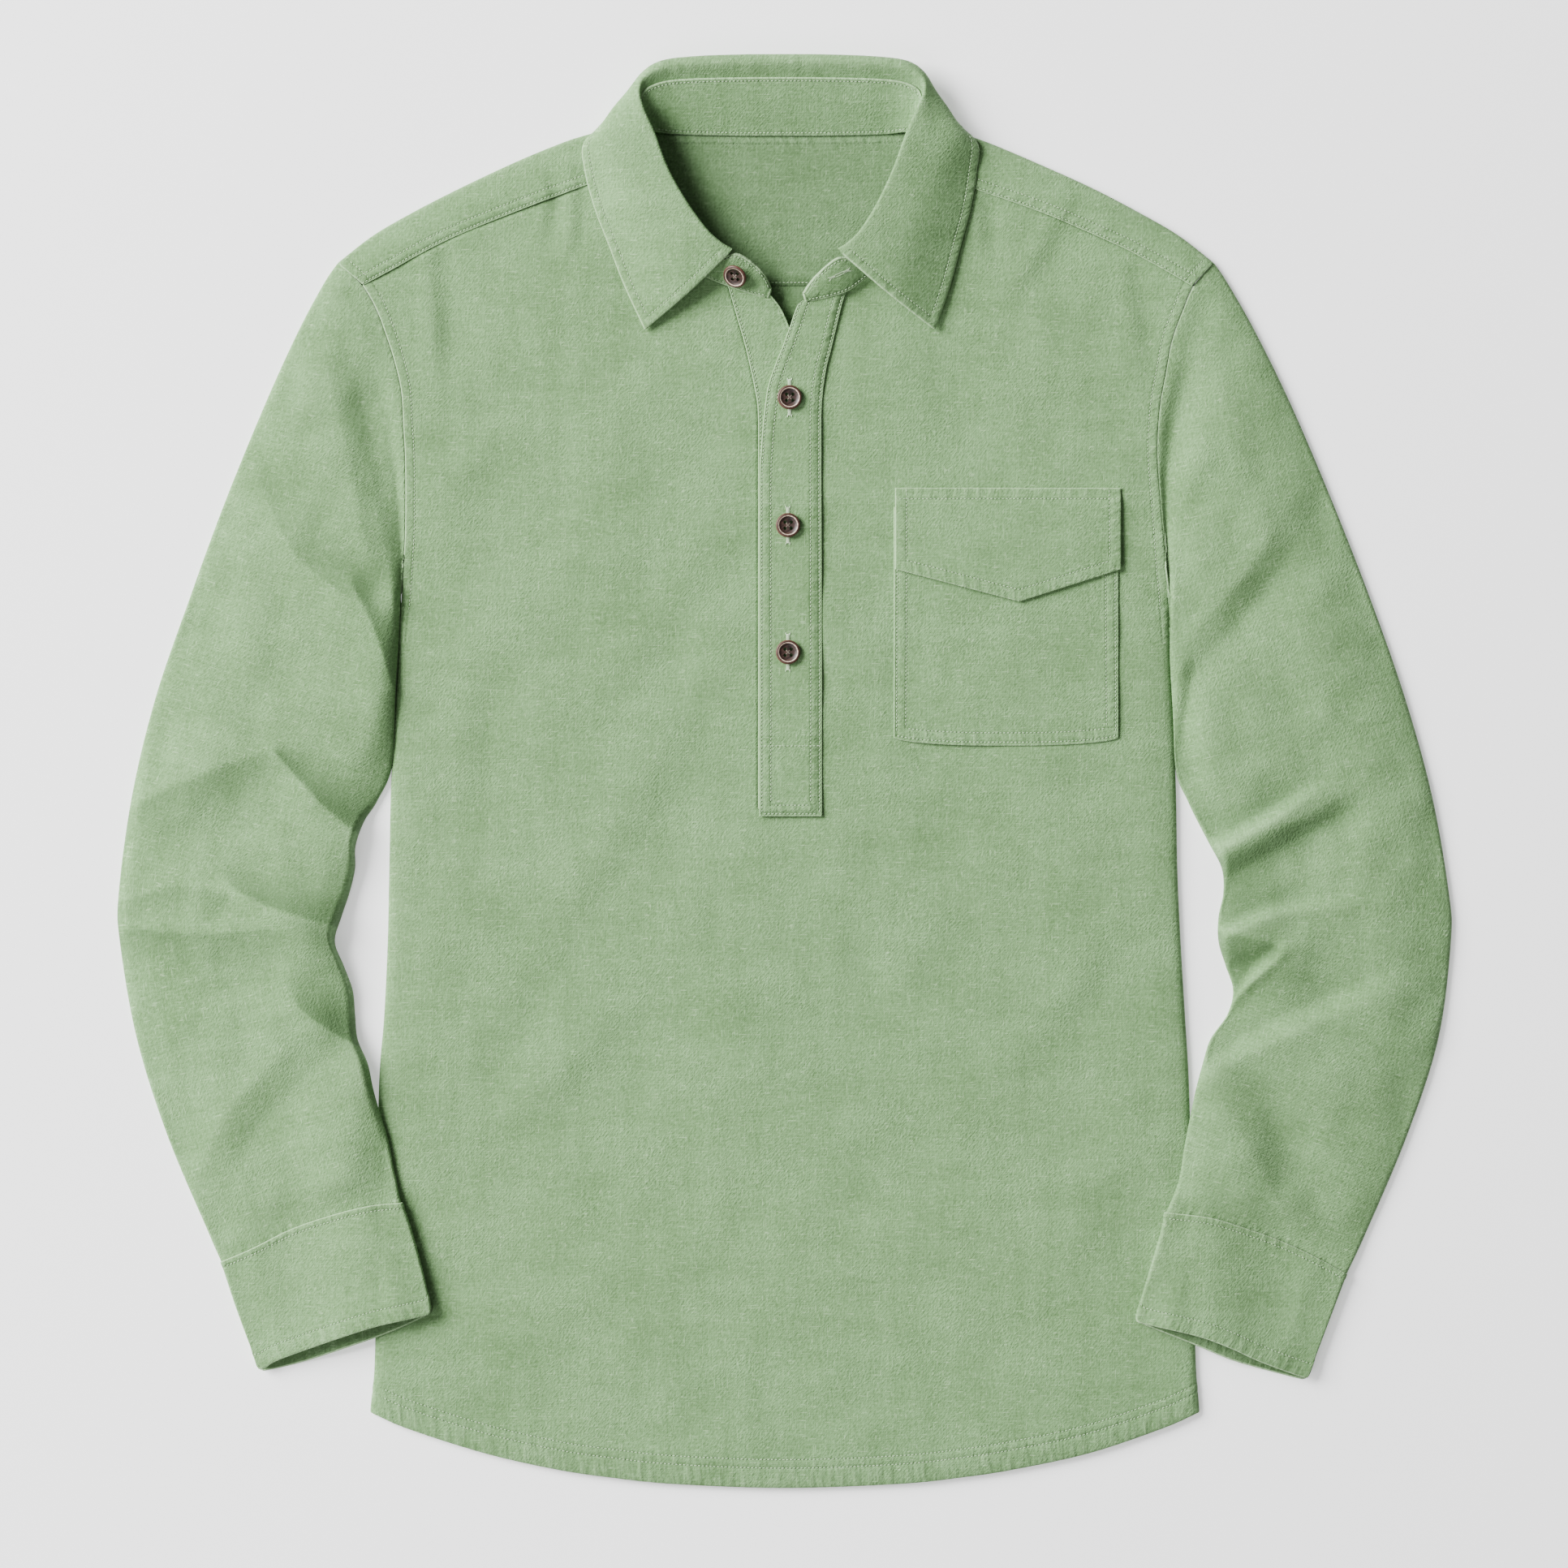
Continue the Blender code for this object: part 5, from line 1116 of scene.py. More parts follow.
# ---------------------------------------------------------------- the sleeves
# Each sleeve is one piece sewn into a tube, let into the armhole and gathered a little into
# its cuff. It lies flattened, with a rolled edge on both sides, and the bend of the elbow
# throws deep folds from its inner edge. Its lower end lies over the body's side.

OVER = 0.9              # gap between a sleeve and the body that it crosses
SIDE_RAMP = 52.0        # how far before the body's side it starts to rise
SIDE_TOP = 5.0          # how far before the body's side it is up
CROSS_Y, CROSS_BLEND = -134.0, 40.0     # where a sleeve starts to cross the body's side
SLEEVE_EDGE = 2.8       # height of a sleeve's rolled edges
SLEEVE_ROLL = 1.6       # width over which they round off
SLEEVE_RISE = 6.4       # further height in the middle of a sleeve
SLEEVE_SLOPE = 45.0     # width over which it rises to that
LEAST_LIFT = 2.4        # least height of a sleeve's upper layer
CREASE_EDGE = 3.5       # how far in from a rolled edge its folds are at full height
ARMHOLE_SHARE, CUFF_SHARE = 0.10, 0.05  # shares of a sleeve's length that its two ends take
ROLLED_MARKS = (0.25, 0.8, 1.6, 2.8)    # extra stations beside a rolled edge
CUFF_EDGE = 4.4         # height of a cuff's rolled edges
CUFF_RISE = 1.4         # further height in the middle of a cuff
CUFF_SLOPE = 20.0       # width over which it rises to that
UNDERARM_X = 214.0
UNDERARM_LIFT, UNDERARM_REACH = 1.6, 16.0       # how much higher a sleeve starts there
SOFT_FLOOR = 1.2        # how softly the deepest folds come to rest on the under layer
SLEEVE_SEWN = [("low", (), 0.0, 1.0), ("high", (), 0.0, 1.0)]
SLEEVE_OUTER_LEFT = [
    (-247.5, 282.6), (-255.6, 270.9), (-270.0, 243.9), (-288.4, 203.4), (-310.5, 149.4),
    (-330.3, 95.4), (-348.8, 41.4), (-361.8, -12.6), (-369.2, -66.6), (-368.6, -93.6),
    (-359.1, -147.6), (-342.0, -201.6), (-319.1, -255.6), (-311.9, -271.8),
]
SLEEVE_INNER_LEFT = [
    (-212.2, 96.3), (-213.2, 81.9), (-215.5, 41.4), (-217.5, 4.0), (-226.0, -16.0),
    (-233.1, -27.1), (-237.8, -40.6), (-238.1, -53.1), (-241.2, -66.6), (-245.7, -80.1),
    (-249.3, -93.6), (-244.3, -107.1), (-239.4, -120.6), (-238.1, -134.1), (-236.6, -147.6),
    (-230.8, -161.1), (-227.8, -174.6), (-224.4, -187.1), (-219.6, -202.7), (-216.0, -220.2),
    (-212.0, -238.6),
]
SLEEVE_OUTER_RIGHT = [
    (237.6, 282.6), (245.7, 270.9), (261.0, 243.9), (280.8, 203.4), (303.8, 149.4), (324.9, 95.4),
    (343.8, 41.4), (358.7, -12.6), (368.1, -66.6), (369.2, -93.6), (362.2, -147.6),
    (344.7, -201.6), (321.8, -255.6), (310.9, -278.6),
]
SLEEVE_INNER_RIGHT = [
    (212.2, 96.3), (213.1, 68.4), (214.9, 32.4), (216.6, 1.0), (223.4, -16.0), (229.0, -27.6),
    (235.3, -39.6), (242.1, -53.1), (243.0, -66.6), (240.3, -80.1), (240.3, -93.6),
    (244.3, -107.1), (248.4, -120.6), (245.2, -134.1), (235.8, -147.6), (231.3, -161.1),
    (227.6, -174.6), (224.6, -189.0), (221.4, -205.0), (217.8, -226.0), (210.6, -243.9),
]
SLEEVE_AXIS = [(228.0, 290.0), (238.0, 200.0), (262.0, 95.0), (296.0, -30.0), (303.0, -90.0),
               (290.0, -160.0), (262.0, -255.0), (242.0, -330.0)]
CUFF_SEAM_LEFT = [(-311.9, -271.8), (-294.8, -264.2), (-272.7, -253.3),
                  (-249.3, -245.2), (-229.5, -240.3), (-212.0, -238.6)]
CUFF_SEAM_RIGHT = [(310.9, -278.6), (293.9, -269.1), (274.5, -260.1),
                   (254.7, -252.9), (235.3, -247.0), (210.6, -243.9)]
SLEEVE_FOLDS_LEFT = [
    (-246, 256, -228, 190, -216, 128, 12, 18, 16, 3.0, 1.0, 0.2, 0.9),
    (-255, -162, -292, -200, -311, -246, 15, 22, 22, 3.0, 1.8, 0.6, 0.4),
]
SLEEVE_FOLDS_RIGHT = [
    (228, 262, 213, 170, 220, 68, 8, 14, 14, 3.4, 0.0, 0.5, 0.9),
    (293, 140, 266, 98, 231, 60, 12, 18, 20, 3.0, 1.4, 0.3, 0.8),
    (226, 54, 222, 28, 220, 2, 6, 9, 9, 4.4, 0.9, 0.6, 0.9),
    (240, -34, 268, -19, 298, 0, 5.5, 16, 8, 5.2, 2.0, 1.0, 0.1),
    (334, -10, 305, -26, 251, -56, 8, 20, 24, 3.4, 0.6, 0.0, 0.9),
    (242, -83, 272, -71, 322, -66, 5.5, 16, 10, 4.4, 1.8, 1.0, 0.1),
    (245, -121, 255, -110, 269, -98, 4.5, 12, 8, 5.4, 3.0, 1.0, 0.5),
    (238, -151, 285, -129, 350, -100, 9, 20, 16, 4.4, 1.2, 1.0, 0.1),
    (257, -168, 285, -218, 311, -264, 15, 20, 20, 2.8, 1.4, 0.5, 0.3),
]
# Sharp folds: the cloth rises slowly to an edge and drops behind it, on its left-hand side.
# start x y | middle x y | end x y | reach of the drop at start | at end | reach of the rise |
# height at start | at end
SLEEVE_DROPS_LEFT = [
    (-239, 103, -227, 78, -217, 46, 6, 13, 26, 2.2, 5.2),
    (-281, 9, -257, -17, -235, -36, 4, 17, 30, 2.2, 8.6),
    (-306, -64, -287, -74, -242, -88, 5, 15, 30, 2.8, 8.4),
    (-268, -131, -253, -142, -233, -154, 11, 15, 28, 4.0, 7.2),
    (-284, 14, -318, 2, -358, -16, 13, 18, 26, 1.8, 3.2),
    (-306, -66, -336, -62, -368, -70, 10, 14, 20, 1.2, 2.0),
    (-286, -85, -315, -88, -362, -86, 12, 15, 20, 1.8, 2.6),
    (-292, 160, -272, 122, -246, 98, 14, 20, 26, 0.9, 2.4),
]
SLEEVE_DROPS_RIGHT = [
    (228, 58, 226, 82, 238, 108, 13, 9, 14, 2.0, 1.0),
    (294, -22, 264, -33, 240, -46, 12, 22, 24, 1.0, 5.0),
    (279, -97, 258, -91, 239, -87, 7, 22, 18, 1.6, 5.4),
]
SHADE_OF_DROP = 2.1     # how much painted shade the cloth gets behind a sharp fold
BLUNT, BLUNT_START = 0.6, 0.77          # how much a sharp fold's edge is rounded


def drop_height(drops, x, y):
    """Sum of the sharp folds of a table at the points x, y, and the painted shade behind them."""
    total, painted_fold_shade = np.zeros_like(x), np.zeros_like(x)
    for x0, y0, x1, y1, x2, y2, drop0, drop1, rise, height0, height1 in drops:
        best, turn, place = along_fold(x, y, [(x0, y0), (x1, y1), (x2, y2)])
        drop = drop0 + (drop1 - drop0) * place
        height = height0 + (height1 - height0) * place
        reach = drop + (np.minimum(rise, 2.5 * drop) - drop) * 0.5 * (1.0 + turn)
        blunt = np.sqrt(best ** 2 + BLUNT) - BLUNT_START
        total += height * np.exp(-(blunt / reach) ** 1.2)
        # Painted shade behind the sharp fold, on its left-hand side.
        beside = smoothstep(-turn) * smoothstep(best / 1.2)
        painted_fold_shade += SHADE_OF_DROP * height ** 0.5 * beside * np.exp(-(best / (1.3 * drop)) ** 1.6)
    return total, painted_fold_shade


def body_lift(x, y, side):
    """How high a sleeve is carried where it crosses the body's side; side is -1 or 1."""
    edge = x_at(SIDE_LEFT if side < 0 else SIDE_RIGHT, y)
    inside = (edge - x) * side
    ramp = smoothstep((inside + SIDE_RAMP) / (SIDE_RAMP - SIDE_TOP))
    ramp = ramp * smoothstep((CROSS_Y - y) / CROSS_BLEND)
    under = front_top(np.where(inside < 4.0, edge - side * 4.0, x), y)
    return ramp * (under + OVER)


def tube_surface(top_plan, under_plan, profile, side):
    """Surface of a flattened tube: 0-1 goes over the top, 1-2 comes back underneath."""
    def surface(across, up):
        over = across <= 1.0
        u = np.where(over, across, 2.0 - across)
        plan = np.where(over[:, None], top_plan(u, up), under_plan(u, up))
        width = np.linalg.norm(top_plan(np.ones_like(u), up)
                               - top_plan(np.zeros_like(u), up), axis=1)
        from_edge = np.minimum(u, 1.0 - u) * width
        x, y = plan[:, 0], plan[:, 1]
        from_underarm = np.hypot(x - side * UNDERARM_X, y - UNDERARM_Y)
        base = body_lift(x, y, side)
        base = base + UNDERARM_LIFT * (1.0 - smoothstep(from_underarm / UNDERARM_REACH))
        edge, rise, folds = profile(x, y, from_edge, up)
        roll = round_off(from_edge / SLEEVE_ROLL)
        height = 0.5 * edge * (1.0 + roll) + rise + folds
        least = 0.5 * edge + roll * (LEAST_LIFT - 0.5 * edge)
        height = 0.5 * (height + least + np.hypot(height - least, roll * SOFT_FLOOR))
        under = 0.5 * edge * (1.0 - roll)
        return np.column_stack([x, y, base + np.where(over, height, under)])
    return surface


def tube_stations(width, step, under_step):
    """Stations round a flattened tube, closer together at its two rolled edges."""
    over = stations(width, step, ROLLED_MARKS, ROLLED_MARKS)
    under = 2.0 - stations(width, under_step, ROLLED_MARKS, ROLLED_MARKS)[::-1]
    return np.concatenate([over, under[1:-1], [2.0]]), len(over)


def clear_of_body(armhole, side):
    """The sleeve's side of the armhole seam, further off where its rolled edge starts."""
    armhole = np.array(armhole)
    near_underarm = smoothstep((UNDERARM_Y + 34.0 - armhole[:, 1]) / 30.0)
    armhole[:, 0] += side * (0.2 + CLOTH * near_underarm)
    return [tuple(row) for row in armhole]


def make_sleeve(name, node, side, armhole, outer, inner, cuff_seam, folds, drops):
    """A sleeve between its armhole, its two rolled edges and its cuff; side is -1 or 1."""
    armhole = clear_of_body(armhole, side)
    outer = [armhole[0]] + outer[1:-1] + [cuff_seam[0]]
    inner = [armhole[-1]] + inner[1:-1] + [cuff_seam[-1]]

    def plan(u, s):
        return four_sided(outer, inner, armhole, cuff_seam, u, s)

    def profile(x, y, from_edge, s):
        """Height of the rolled edge, the further rise, and the folds."""
        near_armhole = smoothstep(s / ARMHOLE_SHARE)
        near_cuff = smoothstep((1.0 - s) / CUFF_SHARE)
        body = front_top(x, y) - SLEEVE_EDGE
        dome = SLEEVE_RISE * (1.0 - (1.0 - np.clip(from_edge / SLEEVE_SLOPE, 0, 1)) ** 2)
        rise = near_armhole * near_cuff * dome + (1.0 - near_armhole) * np.minimum(body, dome)
        rise = rise + (1.0 - near_cuff) * 0.5 * CUFF_RISE * np.clip(from_edge / CUFF_SLOPE, 0, 1)
        uneven = 1.6 * slack(x, y, 38.0, 11.0 + side) + 0.7 * slack(x, y, 17.0, 14.0 + side)
        crease = fold_height(folds, x, y, 1.25) + drop_height(drops, x, y)[0] + uneven
        crease *= np.clip(from_edge / CREASE_EDGE, 0.0, 1.0)
        edge = CUFF_EDGE + near_cuff * (SLEEVE_EDGE - CUFF_EDGE)
        return edge, rise, crease * smoothstep(s / 0.04) * near_cuff

    def threads(places):
        """Where each place lies on the weave, which runs along the bent sleeve."""
        line = dense(SLEEVE_AXIS)
        line[:, 0] *= side
        gap = places[..., None, :2] - line
        spot = np.argmin(np.linalg.norm(gap, axis=-1), axis=-1)
        ahead = np.gradient(line, axis=0)
        ahead /= np.linalg.norm(ahead, axis=1)[:, None]
        run = np.cumsum(np.linalg.norm(np.diff(line, axis=0, prepend=line[:1]), axis=1))
        gap = np.take_along_axis(gap, spot[..., None, None], axis=-2)[..., 0, :]
        ahead = ahead[spot]
        aside = gap[..., 0] * ahead[..., 1] - gap[..., 1] * ahead[..., 0]
        return np.stack([-aside, -run[spot] - np.sum(gap * ahead, axis=-1)], axis=-1)

    round_it, _ = tube_stations(140.0, 2.1, 7.0)
    # The sharp folds also give the painted shade behind them.
    sleeve, _ = lay_cloth(
        name, round_it, stations(560.0, 2.2, EDGE_MARKS, EDGE_MARKS),
        tube_surface(plan, plan, profile, side), sewn=SLEEVE_SEWN,
        pucker=0.10, flip=side < 0, seed=7.0 + side, grain=threads,
        painted_fold_shade=lambda x, y: drop_height(drops, x, y)[1])
    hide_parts(node)
    return sleeve


left_sleeve = make_sleeve("left_sleeve", "sleeve_left", -1, ARMHOLE_LEFT, SLEEVE_OUTER_LEFT,
                          SLEEVE_INNER_LEFT, CUFF_SEAM_LEFT, SLEEVE_FOLDS_LEFT,
                          SLEEVE_DROPS_LEFT)
right_sleeve = make_sleeve("right_sleeve", "sleeve_right", 1, ARMHOLE_RIGHT, SLEEVE_OUTER_RIGHT,
                           SLEEVE_INNER_RIGHT, CUFF_SEAM_RIGHT, SLEEVE_FOLDS_RIGHT,
                           SLEEVE_DROPS_RIGHT)

# ---------------------------------------------------------------- the cuffs
# Plain cuffs, each a band of doubled cloth sewn into a short tube. One row holds it over the
# end of the sleeve and another runs round its mouth, whose upper edge draws back a little, so
# that the inside of the under layer shows.

CUFF = 1.2              # thickness of the band
CUFF_LAP = 1.0          # how far the cuff's edge lies over the sleeve's end
CUFF_STEP = 0.6         # how far it stands out from the sleeve all round
MOUTH_LIFT = 1.3        # how much further its mouth stands open
CUFF_SEWN = [("low", (3.4,), 0.0, 1.0), ("high", (8.6,), 0.0, 1.0)]
CUFF_OUTER_LEFT = [(-311.9, -271.8), (-304.2, -296.1), (-292.4, -327.4)]
CUFF_INNER_LEFT = [(-212.0, -238.6), (-206.1, -253.3), (-200.2, -274.9), (-195.6, -295.6)]
CUFF_OUTER_RIGHT = [(310.9, -278.6), (302.4, -301.6), (290.6, -332.4)]
CUFF_INNER_RIGHT = [(210.6, -243.9), (207.0, -256.5), (199.3, -282.6), (194.2, -300.2)]
MOUTH_TOP_LEFT = [
    (-292.4, -327.4), (-291.2, -330.2), (-287.6, -329.4), (-278.6, -324.4), (-245.2, -312.3),
    (-223.7, -305.6), (-200.0, -300.4), (-196.2, -298.6), (-195.6, -295.6),
]
MOUTH_UNDER_LEFT = [
    (-292.4, -327.4), (-291.0, -330.8), (-287.2, -331.4), (-266.9, -326.6), (-241.2, -318.0),
    (-219.0, -310.0), (-200.0, -301.4), (-196.0, -298.9), (-195.6, -295.6),
]
MOUTH_TOP_RIGHT = [
    (290.6, -332.4), (289.2, -335.0), (285.6, -334.4), (262.8, -325.8), (245.2, -317.7),
    (227.7, -311.4), (198.6, -304.6), (194.8, -303.0), (194.2, -300.2),
]
MOUTH_UNDER_RIGHT = [
    (290.6, -332.4), (289.0, -335.6), (285.0, -336.0), (261.0, -329.6), (245.2, -324.6),
    (227.2, -317.0), (198.6, -305.6), (194.6, -303.4), (194.2, -300.2),
]


def make_cuff(name, node, side, seam, outer, inner, mouth_top, mouth_under):
    """A cuff between its seam, its two rolled edges and its mouth; side is -1 or 1."""
    seam = [(x, y + CUFF_LAP) for x, y in seam]
    outer = [(seam[0][0] + side * CUFF_STEP, seam[0][1])] + outer[1:]
    inner = [(seam[-1][0] - side * CUFF_STEP, seam[-1][1])] + inner[1:]
    seam[0], seam[-1] = outer[0], inner[0]

    def top_plan(u, s):
        return four_sided(outer, inner, seam, mouth_top, u, s)

    def under_plan(u, s):
        return four_sided(outer, inner, seam, mouth_under, u, s)

    def profile(x, y, from_edge, s):
        slope = from_edge / CUFF_SLOPE
        dome = CUFF_RISE * np.clip(slope, 0.0, 1.0) * smoothstep(slope)
        mouth = MOUTH_LIFT * smoothstep((s - 0.6) / 0.4) * smoothstep(from_edge / 25.0)
        soft = 0.35 * slack(x, y, 26.0, 15.0 + side) * np.clip(from_edge / 10.0, 0.0, 1.0)
        return np.full_like(x, CUFF_EDGE + CUFF_STEP), dome + mouth + 0.2, soft

    round_it, over_count = tube_stations(100.0, 1.5, 1.9)
    cuff, net = lay_cloth(
        name, round_it, stations(66.0, 1.4, EDGE_MARKS, EDGE_MARKS),
        tube_surface(top_plan, under_plan, profile, side), sewn=CUFF_SEWN, pucker=0.07,
        wall=CUFF, flip=side < 0, seed=9.0 + side)
    top_share = (over_count - 3) / (len(round_it) - 1)
    rows = [stitches_along(row_on(net, edge, row, 0.02, top_share))
            for edge, (row,), _, _ in CUFF_SEWN]
    rows.append(stitches_along(row_on(net, "high", CUFF_SEWN[1][1][0], top_share + 0.06, 0.97),
                               lift=-CUFF - STITCH_LIFT))
    stitching = sew(name + "_stitching", rows)
    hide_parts(node)


make_cuff("left_cuff", "cuff_left", -1, CUFF_SEAM_LEFT, CUFF_OUTER_LEFT, CUFF_INNER_LEFT,
          MOUTH_TOP_LEFT, MOUTH_UNDER_LEFT)
make_cuff("right_cuff", "cuff_right", 1, CUFF_SEAM_RIGHT, CUFF_OUTER_RIGHT, CUFF_INNER_RIGHT,
          MOUTH_TOP_RIGHT, MOUTH_UNDER_RIGHT)

# ---------------------------------------------------------------- the collar
# The collar is two pieces of doubled cloth with an interlining. The stand rises from the
# neckline and leans out at the back, and its free ends lap at the throat, the left one with
# a button and the right one with a buttonhole. The leaf is sewn to the stand's top, folds
# over it, and lies on the shoulders and chest with two points.

COLLAR_CLOTH = 1.5      # thickness of both pieces
# Sections from the middle of the back round to the left point:
# seam on the neckline | ridge of the fold | outermost swell | leaf's edge, x y z each
COLLAR = [
    (0.0, 353.4, 1.5, 0.0, 392.6, 14.8, 0.0, 393.8, 8.6, 0.0, 360.0, 1.0),
    (-25.0, 353.4, 1.5, -25.0, 392.4, 14.8, -25.0, 393.6, 8.6, -25.0, 360.0, 1.0),
    (-48.0, 353.8, 1.5, -49.0, 391.6, 15.0, -49.0, 392.8, 8.6, -49.0, 360.2, 1.0),
    (-62.0, 354.4, 1.7, -66.6, 389.6, 15.3, -67.6, 390.6, 8.8, -66.0, 360.8, 1.0),
    (-72.0, 355.2, 4.0, -77.4, 384.2, 15.9, -77.8, 385.4, 9.0, -77.0, 362.6, 1.0),
    (-77.5, 352.5, 6.6, -80.8, 376.4, 16.8, -86.4, 376.4, 9.6, -85.0, 363.4, 1.2),
    (-80.0, 346.0, 7.0, -79.0, 366.2, 17.6, -96.0, 364.4, 10.4, -95.0, 360.8, 1.8),
    (-81.6, 337.0, 7.0, -73.6, 353.4, 18.6, -98.0, 352.6, 14.2, -110.4, 348.6, 7.0),
    (-81.0, 322.0, 7.6, -65.9, 333.4, 19.0, -90.0, 334.6, 15.4, -110.2, 333.0, 6.8),
    (-75.0, 305.0, 7.5, -55.9, 315.4, 19.2, -81.0, 313.6, 15.8, -104.8, 312.4, 6.8),
    (-64.0, 289.0, 7.6, -44.7, 299.7, 19.0, -71.0, 296.4, 15.6, -97.6, 293.6, 7.0),
    (-55.0, 281.2, 7.6, -36.4, 291.6, 18.2, -62.6, 281.4, 14.8, -88.4, 269.6, 7.0),
    (-45.0, 275.0, 7.6, -30.2, 287.4, 17.4, -53.4, 265.4, 13.6, -77.2, 245.4, 7.4),
]
# Share of the way from the seam to the fold where the stand ends, per section
STAND_SHARE = [0.775, 0.775, 0.775, 0.775, 0.77, 0.76, 0.75, 0.74, 0.74, 0.74, 0.74, 0.74, 0.74]
LEAF_START = 0.03       # share between the stand's top and the start of the leaf
LEAF_TUCK = 1.7         # how far under the stand's top the leaf starts at the back
# The stand's free ends beyond the leaf: foot x y z | top x y z
STAND_END_LEFT = [
    (-35.0, 270.6, 7.6, -26.8, 286.0, 16.2),
    (-25.0, 266.9, 7.6, -18.8, 282.0, 14.2),
    (-15.6, 264.0, 7.5, -11.8, 275.4, 11.4),
    (-9.2, 262.6, 7.5, -7.6, 267.2, 8.8),
]
STAND_END_RIGHT = [
    (36.0, 267.0, 9.2, 28.9, 283.4, 17.6),
    (27.0, 263.6, 9.2, 21.8, 278.2, 15.6),
    (18.6, 261.6, 9.1, 15.2, 271.8, 12.8),
    (11.8, 260.4, 9.0, 10.2, 264.8, 10.4),
]
COLLAR_SHIFT_Y = [245.0, 330.0, 367.0, 390.0]     # the right half leans a little:
COLLAR_SHIFT_X = [5.5, -4.5, -5.0, -1.0]          # sideways shift at those y
RIGHT_END_LIFT = 1.6    # the right end lies on the thicker band
RIGHT_LIFT_Y = 300.0    # and rises to it below this y
BACK_FOLD_Y = 345.0     # the leaf folds upright above this y
STAND_ROW = 1.5         # distance of the stand's rows of stitches from its edges
STAND_SEWN = [("high", (STAND_ROW,), 0.0, 1.0), ("low", (STAND_ROW,), 0.0, 1.0),
              ("left", (STAND_ROW,), 0.1, 0.9), ("right", (STAND_ROW,), 0.1, 0.9)]
STAND_BACK = [(0.16, 0.84)]                     # shares of the stand sewn on its inner face
STAND_ENDS = [(0.01, 0.15), (0.85, 0.99)]       # and on its outer face, at its free ends
LEAF_SEWN = [("high", (4.4,), 0.008, 0.992), ("left", (4.4,), 0.26, 0.94),
             ("right", (4.4,), 0.26, 0.94)]


def right_half(rows, lifted):
    """Mirrors sections to the right, where the collar leans a little and ends higher.

    The first `lifted` points of each section rise with the thicker band under them.
    """
    rows = np.array(rows, float)
    lift = RIGHT_END_LIFT * smoothstep((RIGHT_LIFT_Y - rows[:, 1]) / 20.0)
    for k in range(0, rows.shape[1], 3):
        shift = np.interp(rows[:, k + 1], COLLAR_SHIFT_Y, COLLAR_SHIFT_X)
        rows[:, k] = -rows[:, k] + shift
        if k < 3 * lifted:
            rows[:, k + 2] += lift
    return rows


def collar_sections():
    """All the sections from the left point round the back to the right point."""
    left = np.array(COLLAR)
    return np.vstack([left[::-1], right_half(left, 3)[1:]])


def stand_sections():
    """Foot and top of the stand, from its left end round the back to its right end."""
    rows = np.array(COLLAR)
    share = np.array(STAND_SHARE)[:, None]
    foot, fold = rows[:, 0:3], rows[:, 3:6]
    top = foot + share * (fold - foot)
    half = np.hstack([foot, top])
    return np.vstack([STAND_END_LEFT[::-1], half[::-1], right_half(half, 2)[1:], STAND_END_RIGHT])


def stand_surface(across, up):
    """From the foot of the stand to its top, bowed a little."""
    rows = stand_sections()
    section = spline_through(rows, across * (len(rows) - 1))
    foot, top = section[:, 0:3], section[:, 3:6]
    bow = np.sin(math.pi * up)[:, None] * np.array([0.0, 0.0, 0.6])
    return foot + up[:, None] * (top - foot) + bow


def leaf_surface(across, up):
    """From the stand's top over the fold and the swell to the leaf's free edge."""
    rows = collar_sections()
    section = spline_through(rows, across * (len(rows) - 1))
    share = np.array(STAND_SHARE)
    share = np.concatenate([share[::-1], share[1:]])[:, None]
    foot, fold, swell, edge = (section[:, k:k + 3] for k in (0, 3, 6, 9))
    at_back = smoothstep((fold[:, 1:2] - BACK_FOLD_Y) / 20.0)
    begin = spline_through(share, across * (len(rows) - 1)) + LEAF_START * (1.0 - 2.0 * at_back)
    start = foot + begin * (fold - foot)
    start[:, 2:] -= LEAF_TUCK * at_back
    places = spline_through(np.stack([start, fold, swell, edge]), 3.0 * up)
    lying = smoothstep((up - 0.4) / 0.2) * smoothstep((1.0 - up) / 0.15)
    places[:, 2] += 0.5 * slack(places[:, 0], places[:, 1], 24.0, 17.0) * lying
    upright = 0.3 * slack(places[:, 0], 0.15 * places[:, 1], 4.5, 21.0)
    places[:, 2] += upright * at_back[:, 0] * smoothstep(up / 0.2) * smoothstep((0.8 - up) / 0.2)
    return places


stand, stand_net = lay_cloth(
    "collar_stand_cloth", stations(400.0, 1.5, EDGE_MARKS, EDGE_MARKS),
    stations(30.0, 1.4, EDGE_MARKS, EDGE_MARKS), stand_surface, sewn=STAND_SEWN, pucker=0.08,
    wall=COLLAR_CLOTH, offset=0.0, seed=12.0, faces=(SAGE_CLOTH,))
leaf, leaf_net = lay_cloth(
    "collar_leaf_cloth", stations(440.0, 1.6, EDGE_MARKS, EDGE_MARKS),
    np.concatenate([np.linspace(0.0, 0.5, 16)[:-1],
                    0.5 + 0.5 * stations(42.0, 1.4, (), EDGE_MARKS)]),
    leaf_surface, sewn=LEAF_SEWN, pucker=0.07, wall=COLLAR_CLOTH, offset=0.0, seed=13.0,
    faces=(SAGE_CLOTH,))
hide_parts("collar_stand")
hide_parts("collar_leaf")
half_wall = 0.5 * COLLAR_CLOTH + STITCH_LIFT
stand_rows = [stitches_along(row_on(stand_net, side, STAND_ROW, *part), lift=lift)
              for parts, lift in ((STAND_BACK, half_wall), (STAND_ENDS, -half_wall))
              for side in ("high", "low") for part in parts]
stand_stitching = sew("stand_stitching", stand_rows)
leaf_stitching = sew("leaf_stitching", rows_of(leaf_net, LEAF_SEWN, lift=half_wall))

